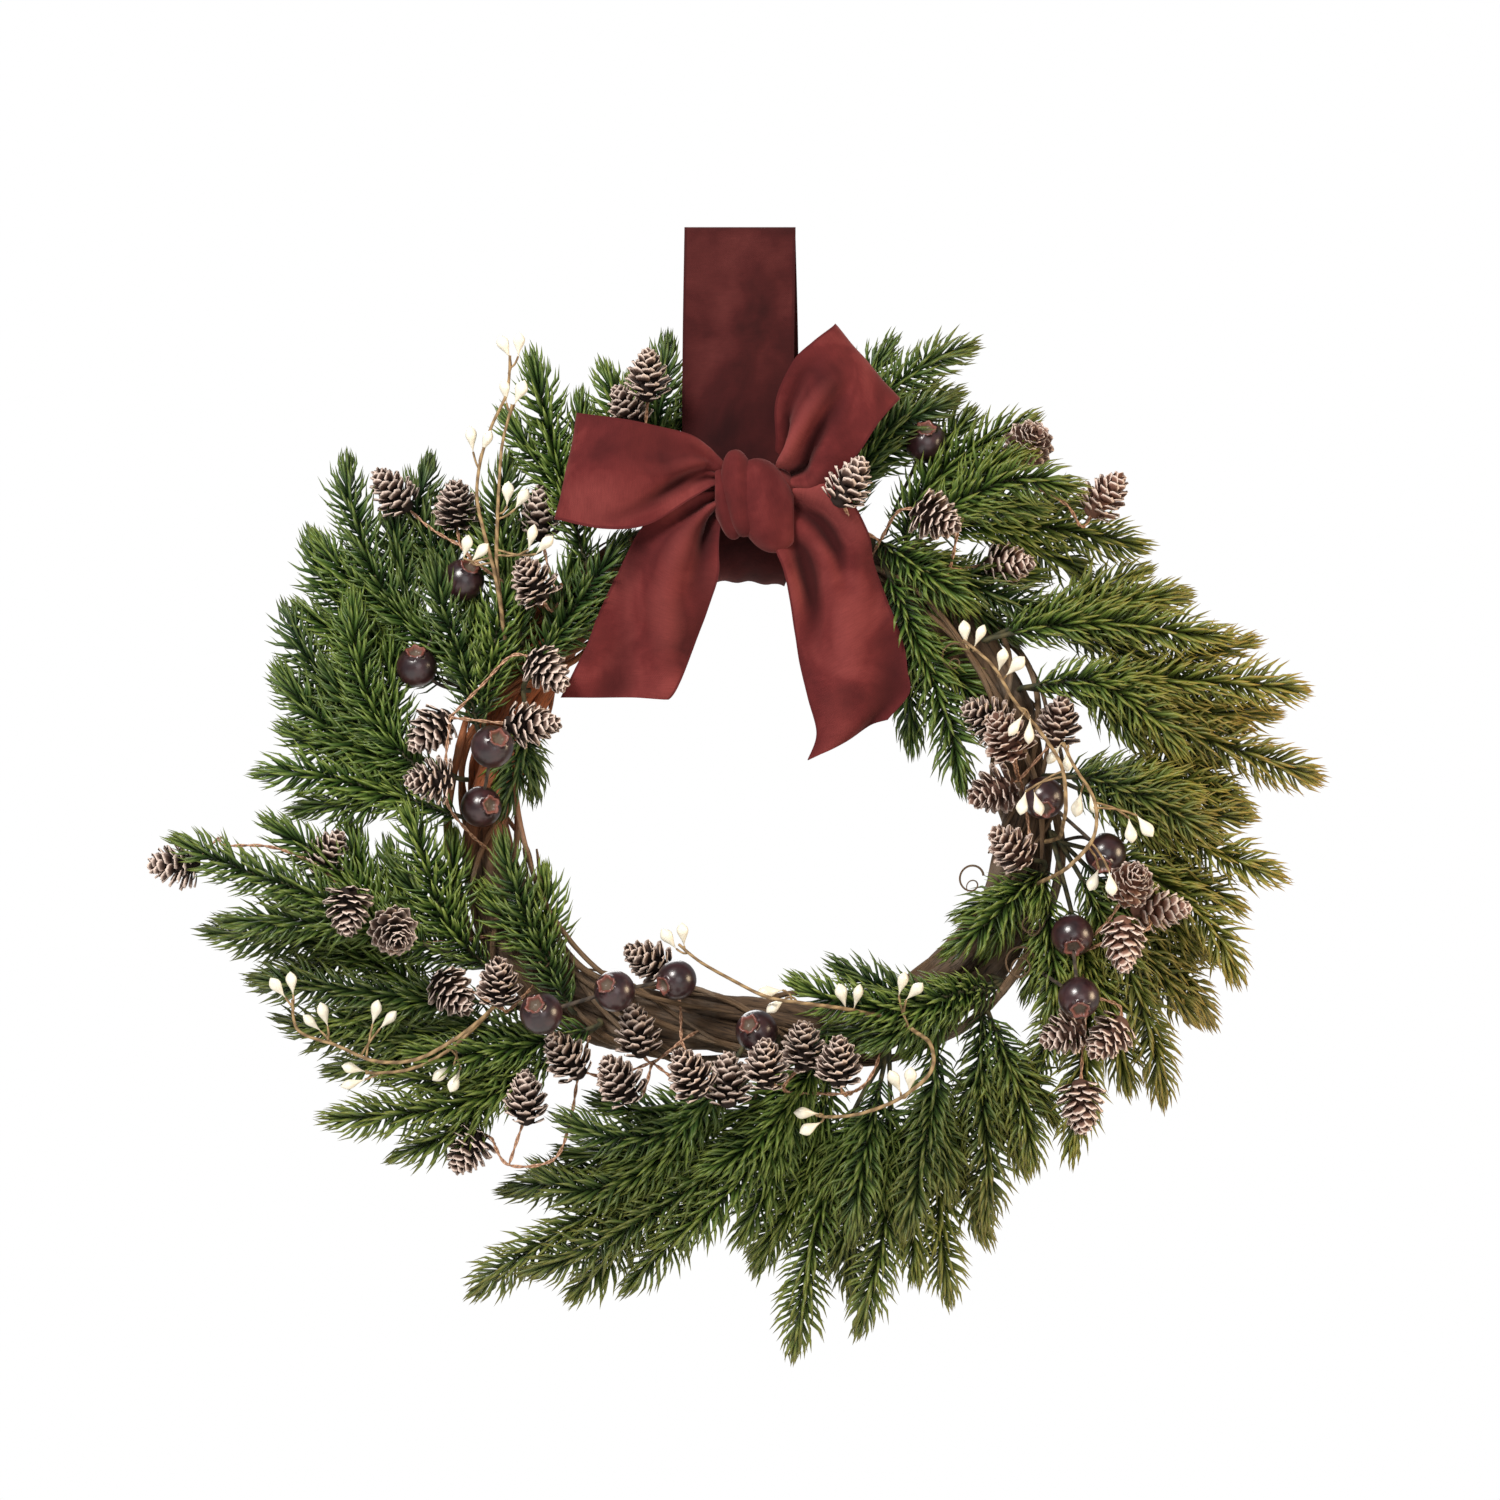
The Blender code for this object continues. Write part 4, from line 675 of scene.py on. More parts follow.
def barkFinish(name, dark, light, grey, barkWarmLightTint):
    made, tree, shader = newFinish(name, 0.85, Specular_IOR_Level=0.3)
    around, along = read(tree, "around", "Vector"), read(tree, "along")
    laid = summed(tree, joinedSpot(tree, z=reckon(tree, "MULTIPLY", along, 26.0)), around)
    laid = summed(tree, laid, scaled(tree, objectSpot(tree), 8.0))
    streak = speckle(tree, laid, 3.2, 6.0, 0.65, 0.6)
    blotch = speckle(tree, objectSpot(tree), 30.0, 4.0, 0.6)
    body = mixed(tree, spread(tree, streak, 0.35, 0.66), dark, light)
    body = mixed(tree, spread(tree, blotch, 0.5, 0.72, 0.0, 0.75), body, grey)
    # painted warm light: a redder tint on the bark at the inner left of the ring
    barkWarmLightAmount = reckon(tree, "MULTIPLY", read(tree, "rusty"), spread(tree, streak, 0.3, 0.6, 0.3, 0.9))
    body = mixed(tree, barkWarmLightAmount, body, barkWarmLightTint)
    crack = spread(tree, streak, 0.30, 0.42)
    body = mixed(tree, crack, tuple(c * 0.3 for c in dark), body)
    tree.links.new(body, shader.inputs["Base Color"])
    bumped(tree, shader, streak, 0.8, 0.0012)
    return made


def ribbonFinish(name, depth):
    made, tree, shader = newFinish(name, 0.88, Specular_IOR_Level=0.15, Sheen_Weight=0.16,
                                   Sheen_Roughness=0.45)
    shader.inputs["Sheen Tint"].default_value = (0.9, 0.45, 0.42, 1.0)
    weave = {"threadGap": 0.00042, "half": 0.025, "dark": (0.034, 0.0035, 0.004),
             "mid": (0.096, 0.0125, 0.0125), "light": (0.200, 0.040, 0.036), "selvedge": (0.060, 0.007, 0.008),
             "valley": (0.022, 0.0015, 0.0018)}
    # a depth below 1 makes a darker copy of the cloth, which is painted shade on the hanging ribbon
    for part in ("dark", "mid", "light", "selvedge", "valley"):
        weave[part] = tuple(c * depth for c in weave[part])
    laid = put(tree, "ShaderNodeUVMap", {"uv_map": "clothUv"}).outputs[0]
    apart = put(tree, "ShaderNodeSeparateXYZ", {}, {0: laid})
    mottle = speckle(tree, objectSpot(tree), 26.0, 4.0, 0.55, 0.4)
    drawn = put(tree, "ShaderNodeMapping", {}, {0: laid, "Scale": (160.0, 2200.0, 1.0)}).outputs[0]
    slub = speckle(tree, drawn, 1.0, 2.0)
    body = mixed(tree, spread(tree, mottle, 0.30, 0.52), weave["dark"], weave["mid"])
    body = mixed(tree, spread(tree, mottle, 0.50, 0.78), body, weave["light"])
    # painted light and shade: the cloth is coloured lighter where its creases stand out and much darker down
    # their valleys
    fold = read(tree, "fold")
    body = mixed(tree, spread(tree, fold, 0.6, 3.0, 0.0, 0.75), body, weave["light"])
    valleyShadeDepth = reckon(tree, "MULTIPLY", fold, -1.0)
    body = mixed(tree, spread(tree, valleyShadeDepth, 0.3, 2.4, 0.0, 0.92), body, weave["valley"])
    body = mixed(tree, spread(tree, slub, 0.35, 0.75, 0.0, 0.22), body, weave["dark"])
    edge = reckon(tree, "ABSOLUTE", reckon(tree, "SUBTRACT", apart.outputs[0], weave["half"]))
    body = mixed(tree, spread(tree, edge, 0.0236, 0.0240, 0.0, 0.7), body, weave["selvedge"])
    tree.links.new(body, shader.inputs["Base Color"])
    # crossed threads stand up by turns
    turn = 2 * math.pi / weave["threadGap"] / 2
    warp = reckon(tree, "SINE", reckon(tree, "MULTIPLY", apart.outputs[0], turn))
    weft = reckon(tree, "SINE", reckon(tree, "MULTIPLY", apart.outputs[1], turn))
    threads = reckon(tree, "MULTIPLY", warp, weft)
    height = reckon(tree, "ADD", reckon(tree, "MULTIPLY", threads, 0.5), reckon(tree, "MULTIPLY", slub, 1.2))
    bumped(tree, shader, height, 0.35, 0.0002)
    return made


def coneFinish():
    made, tree, shader = newFinish("coneScale", 0.8, Specular_IOR_Level=0.25)
    shade = {"scaleRootShade": (0.016, 0.009, 0.007), "face": (0.105, 0.062, 0.047), "frost": (0.66, 0.53, 0.46),
             "warmLitRose": (0.30, 0.14, 0.095)}
    spot = objectSpot(tree)
    rim, tint = read(tree, "rim"), read(tree, "tint")
    grain = speckle(tree, spot, 420.0, 4.0, 0.65)
    # painted shade: each scale is coloured near black toward its root, where the scales overlap
    body = mixed(tree, spread(tree, rim, 0.05, 0.55), shade["scaleRootShade"], shade["face"])
    # painted warm light: the cones toward the right of the wreath are coloured rosier, with some random tone
    body = mixed(tree, spread(tree, tint, 0.4, 1.0, 0.0, 0.55), body, shade["warmLitRose"])
    frosted = reckon(tree, "ADD", rim, reckon(tree, "MULTIPLY", reckon(tree, "SUBTRACT", grain, 0.5), 0.75))
    body = mixed(tree, spread(tree, frosted, 0.62, 0.92, 0.0, 0.95), body, shade["frost"])
    dusted = speckle(tree, spot, 55.0, 2.0)
    dustAmount = reckon(tree, "MULTIPLY", spread(tree, dusted, 0.5, 0.7, 0.0, 0.45),
                        spread(tree, rim, 0.3, 0.8))
    body = mixed(tree, dustAmount, body, shade["frost"])
    tree.links.new(body, shader.inputs["Base Color"])
    bumped(tree, shader, grain, 0.5, 0.0005)
    return made


def berryFinish():
    made, tree, shader = newFinish("berrySkin", 0.3, Specular_IOR_Level=0.5, Coat_Weight=0.25,
                                   Coat_Roughness=0.25)
    shade = {"skin": (0.014, 0.005, 0.007), "bloom": (0.046, 0.016, 0.018), "rim": (0.15, 0.040, 0.026),
             "pit": (0.095, 0.066, 0.045)}
    spot = objectSpot(tree)
    crown = read(tree, "crown")
    bloom = speckle(tree, spot, 130.0, 4.0, 0.6)
    body = mixed(tree, spread(tree, bloom, 0.4, 0.7), shade["skin"], shade["bloom"])
    body = mixed(tree, spread(tree, crown, 0.15, 0.45), body, shade["rim"])
    body = mixed(tree, spread(tree, crown, 0.6, 0.85), body, shade["pit"])
    tree.links.new(body, shader.inputs["Base Color"])
    tree.links.new(spread(tree, crown, 0.2, 0.8, 0.3, 0.9), shader.inputs["Roughness"])
    bumped(tree, shader, speckle(tree, spot, 700.0, 3.0), 0.25, 0.0003)
    return made


def pipFinish():
    made, tree, shader = newFinish("pipCream", 0.3, Specular_IOR_Level=0.5, Coat_Weight=0.3,
                                   Coat_Roughness=0.2)
    spot = objectSpot(tree)
    body = mixed(tree, speckle(tree, spot, 260.0, 3.0), (0.62, 0.55, 0.42), (0.86, 0.83, 0.72))
    body = mixed(tree, spread(tree, read(tree, "along"), 0.0, 0.35, 0.7, 0.0), body, (0.33, 0.23, 0.11))
    tree.links.new(body, shader.inputs["Base Color"])
    bumped(tree, shader, speckle(tree, spot, 500.0, 2.0), 0.12, 0.0003)
    return made


def wrappedFinish(name, dark, light, roughness, metallic=0.0, pitch=900.0):
    # thin stems and wires, wound round with paper or foil
    made, tree, shader = newFinish(name, roughness, Metallic=metallic)
    along = read(tree, "along")
    apart = put(tree, "ShaderNodeSeparateXYZ", {}, {0: read(tree, "around", "Vector")})
    turn = reckon(tree, "ARCTAN2", apart.outputs[1], apart.outputs[0])
    winding = reckon(tree, "SINE", reckon(tree, "ADD", reckon(tree, "MULTIPLY", along, pitch), turn))
    grain = speckle(tree, objectSpot(tree), 300.0, 4.0, 0.6)
    mix = reckon(tree, "ADD", reckon(tree, "MULTIPLY", winding, 0.2), grain)
    tree.links.new(mixed(tree, spread(tree, mix, 0.3, 0.8), dark, light), shader.inputs["Base Color"])
    bumped(tree, shader, mix, 0.5, 0.0004)
    return made


finish = {
    "needle": needleFinish(),
    "twig": wrappedFinish("spruceTwig", (0.020, 0.022, 0.008), (0.075, 0.062, 0.022), 0.8),
    "vine": barkFinish("vineBark", (0.040, 0.024, 0.014), (0.125, 0.075, 0.042), (0.22, 0.175, 0.135),
                       (0.34, 0.085, 0.025)),
    "tendril": barkFinish("tendrilBark", (0.075, 0.042, 0.022), (0.20, 0.125, 0.068), (0.28, 0.22, 0.16),
                          (0.34, 0.10, 0.035)),
    "ribbon": ribbonFinish("ribbonCloth", 1.0),
    # painted shade: the hanging ribbon is the same cloth coloured darker
    "strap": ribbonFinish("ribbonStrap", 0.46),
    "cone": coneFinish(),
    "copper": wrappedFinish("copperWire", (0.22, 0.105, 0.055), (0.50, 0.29, 0.18), 0.45, 0.15, 2400.0),
    "berry": berryFinish(),
    "darkStem": wrappedFinish("berryStem", (0.020, 0.014, 0.010), (0.075, 0.052, 0.034), 0.75),
    "pip": pipFinish(),
    "paper": wrappedFinish("paperStem", (0.135, 0.080, 0.034), (0.34, 0.225, 0.105), 0.75),
}

print("wreath: building the node trees")


def newTree(name, sockets):
    tree = bpy.data.node_groups.new(name, "GeometryNodeTree")
    tree.interface.new_socket("Geometry", in_out="INPUT", socket_type="NodeSocketGeometry")
    for label, kind, value in sockets:
        socket = tree.interface.new_socket(label, in_out="INPUT", socket_type="NodeSocket" + kind)
        if value is not None:
            socket.default_value = value
    tree.interface.new_socket("Geometry", in_out="OUTPUT", socket_type="NodeSocketGeometry")
    return tree, tree.nodes.new("NodeGroupInput").outputs, tree.nodes.new("NodeGroupOutput").inputs


def keep(tree, geometry, name, value, kind="FLOAT", domain="POINT"):
    return put(tree, "GeometryNodeStoreNamedAttribute", {"data_type": kind, "domain": domain},
               {"Geometry": geometry, "Name": name, "Value": value}).outputs[0]


def recall(tree, name, kind="FLOAT"):
    made = put(tree, "GeometryNodeInputNamedAttribute", {"data_type": kind}, {"Name": name})
    return [o for o in made.outputs if o.enabled and o.name == "Attribute"][0]


def asTurn(tree, angles):
    return put(tree, "FunctionNodeEulerToRotation", {}, {0: angles}).outputs[0]


def turnedOn(tree, facing, extra):
    return put(tree, "FunctionNodeRotateRotation", {"rotation_space": "LOCAL"},
               {0: facing, 1: asTurn(tree, extra)}).outputs[0]


def overHalf(tree, name):
    return put(tree, "FunctionNodeCompare", {"operation": "GREATER_THAN"},
               {0: recall(tree, name), 1: 0.5}).outputs[0]


def drawnBy(tree, index, seed, low, high, whole=False):
    # a number for each index between low and high, the same for the same seed
    made = put(tree, "FunctionNodeRandomValue", {"data_type": "INT" if whole else "FLOAT"},
               {"ID": index, "Seed": seed})
    first = 4 if whole else 2
    made.inputs[first].default_value, made.inputs[first + 1].default_value = low, high
    return made.outputs[2 if whole else 1]


def finishTree(tree, leave, geometry, look, selection=None):
    whole = put(tree, "GeometryNodeRealizeInstances", {}, {0: geometry}).outputs[0]
    feeds = {"Geometry": whole, "Material": look}
    if selection is not None:
        feeds["Selection"] = selection
    tree.links.new(put(tree, "GeometryNodeSetMaterial", {}, feeds).outputs[0], leave[0])


def sweptTube(tree, curve, sides, knobs, knobScale):
    # a tube along the curve whose radius is the points' own, roughened by noise laid along it
    curve = keep(tree, curve, "along", put(tree, "GeometryNodeSplineParameter").outputs["Length"])
    sized = put(tree, "GeometryNodeSetCurveRadius", {},
                {"Curve": curve, "Radius": recall(tree, "fat")}).outputs[0]
    ring = put(tree, "GeometryNodeCurvePrimitiveCircle", {"mode": "RADIUS"},
               {"Resolution": sides, "Radius": 1.0})
    here = put(tree, "GeometryNodeInputPosition").outputs[0]
    ring = keep(tree, ring.outputs[0], "around", here, "FLOAT_VECTOR")
    tube = put(tree, "GeometryNodeCurveToMesh", {},
               {"Curve": sized, "Profile Curve": ring, "Fill Caps": True})
    if "Scale" in tube.inputs:
        tree.links.new(recall(tree, "fat"), tube.inputs["Scale"])
    laid = joinedSpot(tree, z=reckon(tree, "MULTIPLY", recall(tree, "along"), 70.0))
    laid = summed(tree, laid, recall(tree, "around", "FLOAT_VECTOR"))
    laid = summed(tree, laid, scaled(tree, here, 20.0))
    lump = put(tree, "ShaderNodeTexNoise", {}, {"Vector": laid, "Scale": knobScale, "Detail": 3.0}).outputs[0]
    lift = reckon(tree, "MULTIPLY", reckon(tree, "SUBTRACT", lump, 0.5), knobs)
    lift = reckon(tree, "MULTIPLY", lift, recall(tree, "fat"))
    push = scaled(tree, put(tree, "GeometryNodeInputNormal").outputs[0], lift)
    moved = put(tree, "GeometryNodeSetPosition", {}, {"Geometry": tube.outputs[0], "Offset": push}).outputs[0]
    return put(tree, "GeometryNodeSetShadeSmooth", {}, {0: moved}).outputs[0]


def windTree():
    tree, entry, leave = newTree("windStems", [("Sides", "Int", 8), ("Knobs", "Float", 0.0),
                                               ("Knob Scale", "Float", 1.5), ("Finish", "Material", None)])
    curve = put(tree, "GeometryNodeMeshToCurve", {}, {"Mesh": entry["Geometry"]}).outputs[0]
    tube = sweptTube(tree, curve, entry["Sides"], entry["Knobs"], entry["Knob Scale"])
    finishTree(tree, leave, tube, entry["Finish"])
    return tree


def needleTree():
    tree, entry, leave = newTree("needleSprays", [
        ("Needle Gap", "Float", 0.0004), ("Needles", "Collection", None), ("Lean", "Float", 0.9),
        ("Tip Lean", "Float", 0.35), ("Tip Reach", "Float", 0.03), ("Jitter", "Float", 0.16),
        ("Seed", "Int", 7), ("Twig Sides", "Int", 6), ("Twig Finish", "Material", None),
        ("Finish", "Material", None)])
    curve = put(tree, "GeometryNodeMeshToCurve", {}, {"Mesh": entry["Geometry"]}).outputs[0]
    twig = sweptTube(tree, curve, entry["Twig Sides"], 0.3, 1.5)
    twig = put(tree, "GeometryNodeSetMaterial", {},
               {"Geometry": twig, "Material": entry["Twig Finish"]}).outputs[0]
    rows = put(tree, "GeometryNodeCurveToPoints", {"mode": "LENGTH"},
               {"Curve": curve, "Length": entry["Needle Gap"]})
    index = put(tree, "GeometryNodeInputIndex").outputs[0]

    def chance(low, high, extra):
        return drawnBy(tree, index, reckon(tree, "ADD", entry["Seed"], float(extra)), low, high)

    toTip = recall(tree, "toTip")
    share = put(tree, "ShaderNodeMapRange", {"interpolation_type": "SMOOTHSTEP"},
                {0: toTip, 1: 0.0, 2: entry["Tip Reach"], 3: 0.0, 4: 1.0}).outputs[0]
    lean = spread(tree, share, 0.0, 1.0, entry["Tip Lean"], entry["Lean"])
    lean = reckon(tree, "ADD", lean, reckon(tree, "MULTIPLY", chance(-1.0, 1.0, 1), entry["Jitter"]))
    turn = reckon(tree, "ADD", reckon(tree, "MULTIPLY", index, goldenTurn), chance(-0.3, 0.3, 2))
    facing = turnedOn(tree, rows.outputs["Rotation"], joinedSpot(tree, z=turn))
    facing = turnedOn(tree, facing, joinedSpot(tree, y=lean))
    size = reckon(tree, "MULTIPLY", chance(0.82, 1.08, 3), recall(tree, "reach"))
    kinds = put(tree, "GeometryNodeCollectionInfo", {}, {0: entry["Needles"], 1: True, 2: True})
    needles = put(tree, "GeometryNodeInstanceOnPoints", {}, {
        "Points": rows.outputs["Points"], "Selection": overHalf(tree, "leafy"), "Instance": kinds.outputs[0],
        "Pick Instance": True, "Instance Index": drawnBy(tree, index, 11, 0, 2, whole=True),
        "Rotation": facing, "Scale": size})
    needles = keep(tree, needles.outputs[0], "isNeedle", 1.0, domain="INSTANCE")
    whole = put(tree, "GeometryNodeJoinGeometry")
    tree.links.new(needles, whole.inputs[0])
    tree.links.new(twig, whole.inputs[0])
    finishTree(tree, leave, whole.outputs[0], entry["Finish"], overHalf(tree, "isNeedle"))
    return tree


def coneTree():
    # scales on a spiral from the base to the tip, wide open below and closing above
    tree, entry, leave = newTree("coneOfScales", [
        ("Scales", "Int", 46), ("Scale Piece", "Object", None), ("Length", "Float", 0.020),
        ("Core Radius", "Float", 0.0045), ("Open Base", "Float", 0.2), ("Open Tip", "Float", 1.15),
        ("Seed", "Int", 3), ("Finish", "Material", None)])
    points = put(tree, "GeometryNodePoints", {}, {"Count": entry["Scales"]}).outputs[0]
    index = put(tree, "GeometryNodeInputIndex").outputs[0]
    share = reckon(tree, "DIVIDE", index, entry["Scales"])
    turn = reckon(tree, "MULTIPLY", index, goldenTurn)
    thin = reckon(tree, "SUBTRACT", 1.0, reckon(tree, "MULTIPLY", reckon(tree, "POWER", share, 1.6), 0.82))
    radius = reckon(tree, "MULTIPLY", entry["Core Radius"], thin)
    height = reckon(tree, "MULTIPLY", reckon(tree, "SUBTRACT", share, 0.5), entry["Length"])
    where = joinedSpot(tree, reckon(tree, "MULTIPLY", reckon(tree, "COSINE", turn), radius),
                       reckon(tree, "MULTIPLY", reckon(tree, "SINE", turn), radius), height)
    points = put(tree, "GeometryNodeSetPosition", {}, {"Geometry": points, "Position": where}).outputs[0]
    sway = drawnBy(tree, index, entry["Seed"], -0.13, 0.13)
    opening = spread(tree, reckon(tree, "POWER", share, 1.3), 0.0, 1.0, entry["Open Base"], entry["Open Tip"])
    lift = reckon(tree, "MULTIPLY", reckon(tree, "ADD", opening, sway), -1.0)
    facing = asTurn(tree, joinedSpot(tree, sway, lift, turn))
    size = reckon(tree, "SUBTRACT", 1.0, reckon(tree, "MULTIPLY", reckon(tree, "POWER", share, 2.2), 0.52))
    early = reckon(tree, "MULTIPLY", reckon(tree, "POWER", reckon(tree, "SUBTRACT", 1.0, share), 7.0), 0.28)
    size = reckon(tree, "SUBTRACT", size, early)
    piece = put(tree, "GeometryNodeObjectInfo", {"transform_space": "ORIGINAL"}, {0: entry["Scale Piece"]})
    scales = put(tree, "GeometryNodeInstanceOnPoints", {},
                 {"Points": points, "Instance": piece.outputs["Geometry"], "Rotation": facing,
                  "Scale": size}).outputs[0]
    whole = put(tree, "GeometryNodeJoinGeometry")
    tree.links.new(scales, whole.inputs[0])
    tree.links.new(entry["Geometry"], whole.inputs[0])
    finishTree(tree, leave, whole.outputs[0], entry["Finish"])
    return tree


def settingTree():
    # sets ready pieces of a collection on points, by the points' own kind, turn and size
    tree, entry, leave = newTree("setPieces", [("Pieces", "Collection", None), ("Finish", "Material", None)])
    kinds = put(tree, "GeometryNodeCollectionInfo", {}, {0: entry["Pieces"], 1: True, 2: True})
    placed = put(tree, "GeometryNodeInstanceOnPoints", {}, {
        "Points": entry["Geometry"], "Instance": kinds.outputs[0], "Pick Instance": True,
        "Instance Index": recall(tree, "kind", "INT"), "Scale": recall(tree, "size"),
        "Rotation": asTurn(tree, recall(tree, "turn", "FLOAT_VECTOR"))})
    finishTree(tree, leave, placed.outputs[0], entry["Finish"])
    return tree


trees = {"wind": windTree(), "needles": needleTree(), "cone": coneTree(), "set": settingTree()}


def linked(name, data):
    obj = bpy.data.objects.new(name, data)
    bpy.context.scene.collection.objects.link(obj)
    return obj


def linePiece(name, chains, attributes):
    # a mesh of bare edges along the chains, with the given values at their points
    mesh = bpy.data.meshes.new(name)
    points, edges = [], []
    for chain in chains:
        first = len(points)
        points += [tuple(p) for p in chain]
        edges += [(first + i, first + i + 1) for i in range(len(chain) - 1)]
    mesh.from_pydata(points, edges, [])
    for label, values in attributes.items():
        flat = [v for row in values for v in row]
        mesh.attributes.new(label, "FLOAT", "POINT").data.foreach_set("value", flat)
    return linked(name, mesh)


def grown(obj, tree, inputs):
    # runs a tree on an object and leaves the plain mesh in its place
    grower = obj.modifiers.new("grow", "NODES")
    grower.node_group = tree
    for item in tree.interface.items_tree:
        if item.item_type == "SOCKET" and item.in_out == "INPUT" and item.name in inputs:
            grower[item.identifier] = inputs[item.name]
    obj.update_tag()
    bpy.context.view_layer.update()
    mesh = bpy.data.meshes.new_from_object(obj.evaluated_get(bpy.context.evaluated_depsgraph_get()))
    name = obj.name
    bpy.data.objects.remove(obj)
    return linked(name, mesh)


def wound(name, chains, fat, sides, knobs, knobScale, look, **more):
    # vines, stems or wires along the chains, with a radius for each point
    piece = linePiece(name, chains, {"fat": fat, **more})
    return grown(piece, trees["wind"], {"Sides": sides, "Knobs": knobs, "Knob Scale": knobScale,
                                        "Finish": finish[look]})


def pointPiece(name, spots, turns, sizes, kinds, tints=None):
    # bare points that carry how each piece set on them is turned, sized and tinted
    base = linked(name, bpy.data.meshes.new(name))
    base.data.from_pydata([tuple(p) for p in spots], [], [])
    laid = [("turn", "FLOAT_VECTOR", "vector", [c for t in turns for c in t]),
            ("size", "FLOAT", "value", sizes), ("kind", "INT", "value", kinds)]
    if tints:
        laid.append(("tint", "FLOAT", "value", tints))
    for label, kind, field, values in laid:
        base.data.attributes.new(label, kind, "POINT").data.foreach_set(field, values)
    return base


def meshPiece(name, verts, faces, values=None, look=None):
    mesh = bpy.data.meshes.new(name)
    mesh.from_pydata([tuple(v) for v in verts], [], faces)
    for label, numbers in (values or {}).items():
        mesh.attributes.new(label, "FLOAT", "POINT").data.foreach_set("value", [float(n) for n in numbers])
    mesh.shade_smooth()
    if look is not None:
        mesh.materials.append(look)
    return linked(name, mesh)


def gathered(name, objs):
    # joins plain pieces into one
    with bpy.context.temp_override(active_object=objs[0], selected_editable_objects=objs, object=objs[0],
                                   selected_objects=objs):
        bpy.ops.object.join()
    objs[0].name = name
    return objs[0]


def kindsOf(name, objs):
    box = bpy.data.collections.new(name)
    for obj in objs:
        bpy.context.scene.collection.objects.unlink(obj)
        box.objects.link(obj)
    return box


def dropKinds(box):
    for obj in list(box.objects):
        bpy.data.objects.remove(obj)
    bpy.data.collections.remove(box)


def stands(obj, slotName, *nodes):
    for name in [a.name for a in obj.data.attributes]:
        if name in ("fat", "leafy", "toTip", "reach", "isNeedle", "turn", "kind", "size"):
            obj.data.attributes.remove(obj.data.attributes[name])
    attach(obj, "root")
    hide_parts(*nodes)
    return obj

print("wreath: needles on the spruce")

spruce = {
    "needleLength": 18.5 * mm,
    "needleWidth": 1.8 * mm,
    "needleGap": 0.39 * mm,
    "lean": 1.20,
    "tipLean": 0.50,
    "tipReach": 22 * mm,
    "bends": (0.22, 0.31, 0.40),
    "twigRadius": 1.25 * mm,
    "bareShare": 0.55,
    "sideTwigs": ((0.30, 0.50, 17), (0.36, 0.46, -19)),
    "sideDrop": 9 * mm,
}


def needlePiece(name, bend):
    # one needle, rooted at the origin and reaching along +Z, a little flat and curved to its tip
    rows = ((0.06, 0.90), (0.62, 0.92))
    verts, along = [], []
    length, width = spruce["needleLength"], spruce["needleWidth"]
    for share, fat in rows:
        for k in range(3):
            turn = math.pi * 2 / 3 * k
            x = math.cos(turn) * width * 0.44 * fat - bend * length * share * share
            verts.append((x, math.sin(turn) * width * 0.58 * fat, share * length))
            along.append(share)
    verts += [(0, 0, -0.2 * mm), (-bend * length, 0, length * (1 - 0.35 * bend))]
    along += [0.0, 1.0]
    faces = []
    for k in range(3):
        n = (k + 1) % 3
        faces += [(6, n, k), (k, n, 3 + n, 3 + k), (7, 3 + k, 3 + n)]
    return meshPiece(name, verts, faces, {"along": along})


needleKinds = kindsOf("needleKinds", [needlePiece("needle%d" % i, b) for i, b in enumerate(spruce["bends"])])
chance = random.Random(21)
def needleWarmLightAt(p):
    # how far painted warm light turns the sprays golden: most at the right and outer edge, a little at the low
    # outer edge
    away = p - layout["ringCentre"]
    right = held((away.x - 0.05) / 0.16)
    outer = held((math.hypot(away.x, away.z) - 0.15) / 0.10)
    return min(1.0, 0.08 + 0.72 * right * (0.25 + 0.75 * outer) + 0.25 * outer * held(-away.z / 0.2))


def sideTwigs(stem):
    # shorter twigs that fork from a stem to either side and lie a little behind it
    chain = evenly(stem, 1.5 * mm)
    for start, reach, angle in spruce["sideTwigs"]:
        first = round(start * (len(chain) - 1))
        turn = Matrix.Rotation(math.radians(angle), 3, "Y")
        steps = round(reach * (len(chain) - 1))
        twig = []
        for step in range(steps + 1):
            share = step / max(1, steps)
            along = chain[min(first + step, len(chain) - 1)] - chain[first]
            bent = turn @ along
            spot = chain[first] + along.lerp(bent, min(1.0, 2.5 * share))
            spot.y += spruce["sideDrop"] * math.sin(math.pi / 2 * share)
            twig.append(spot)
        yield twig


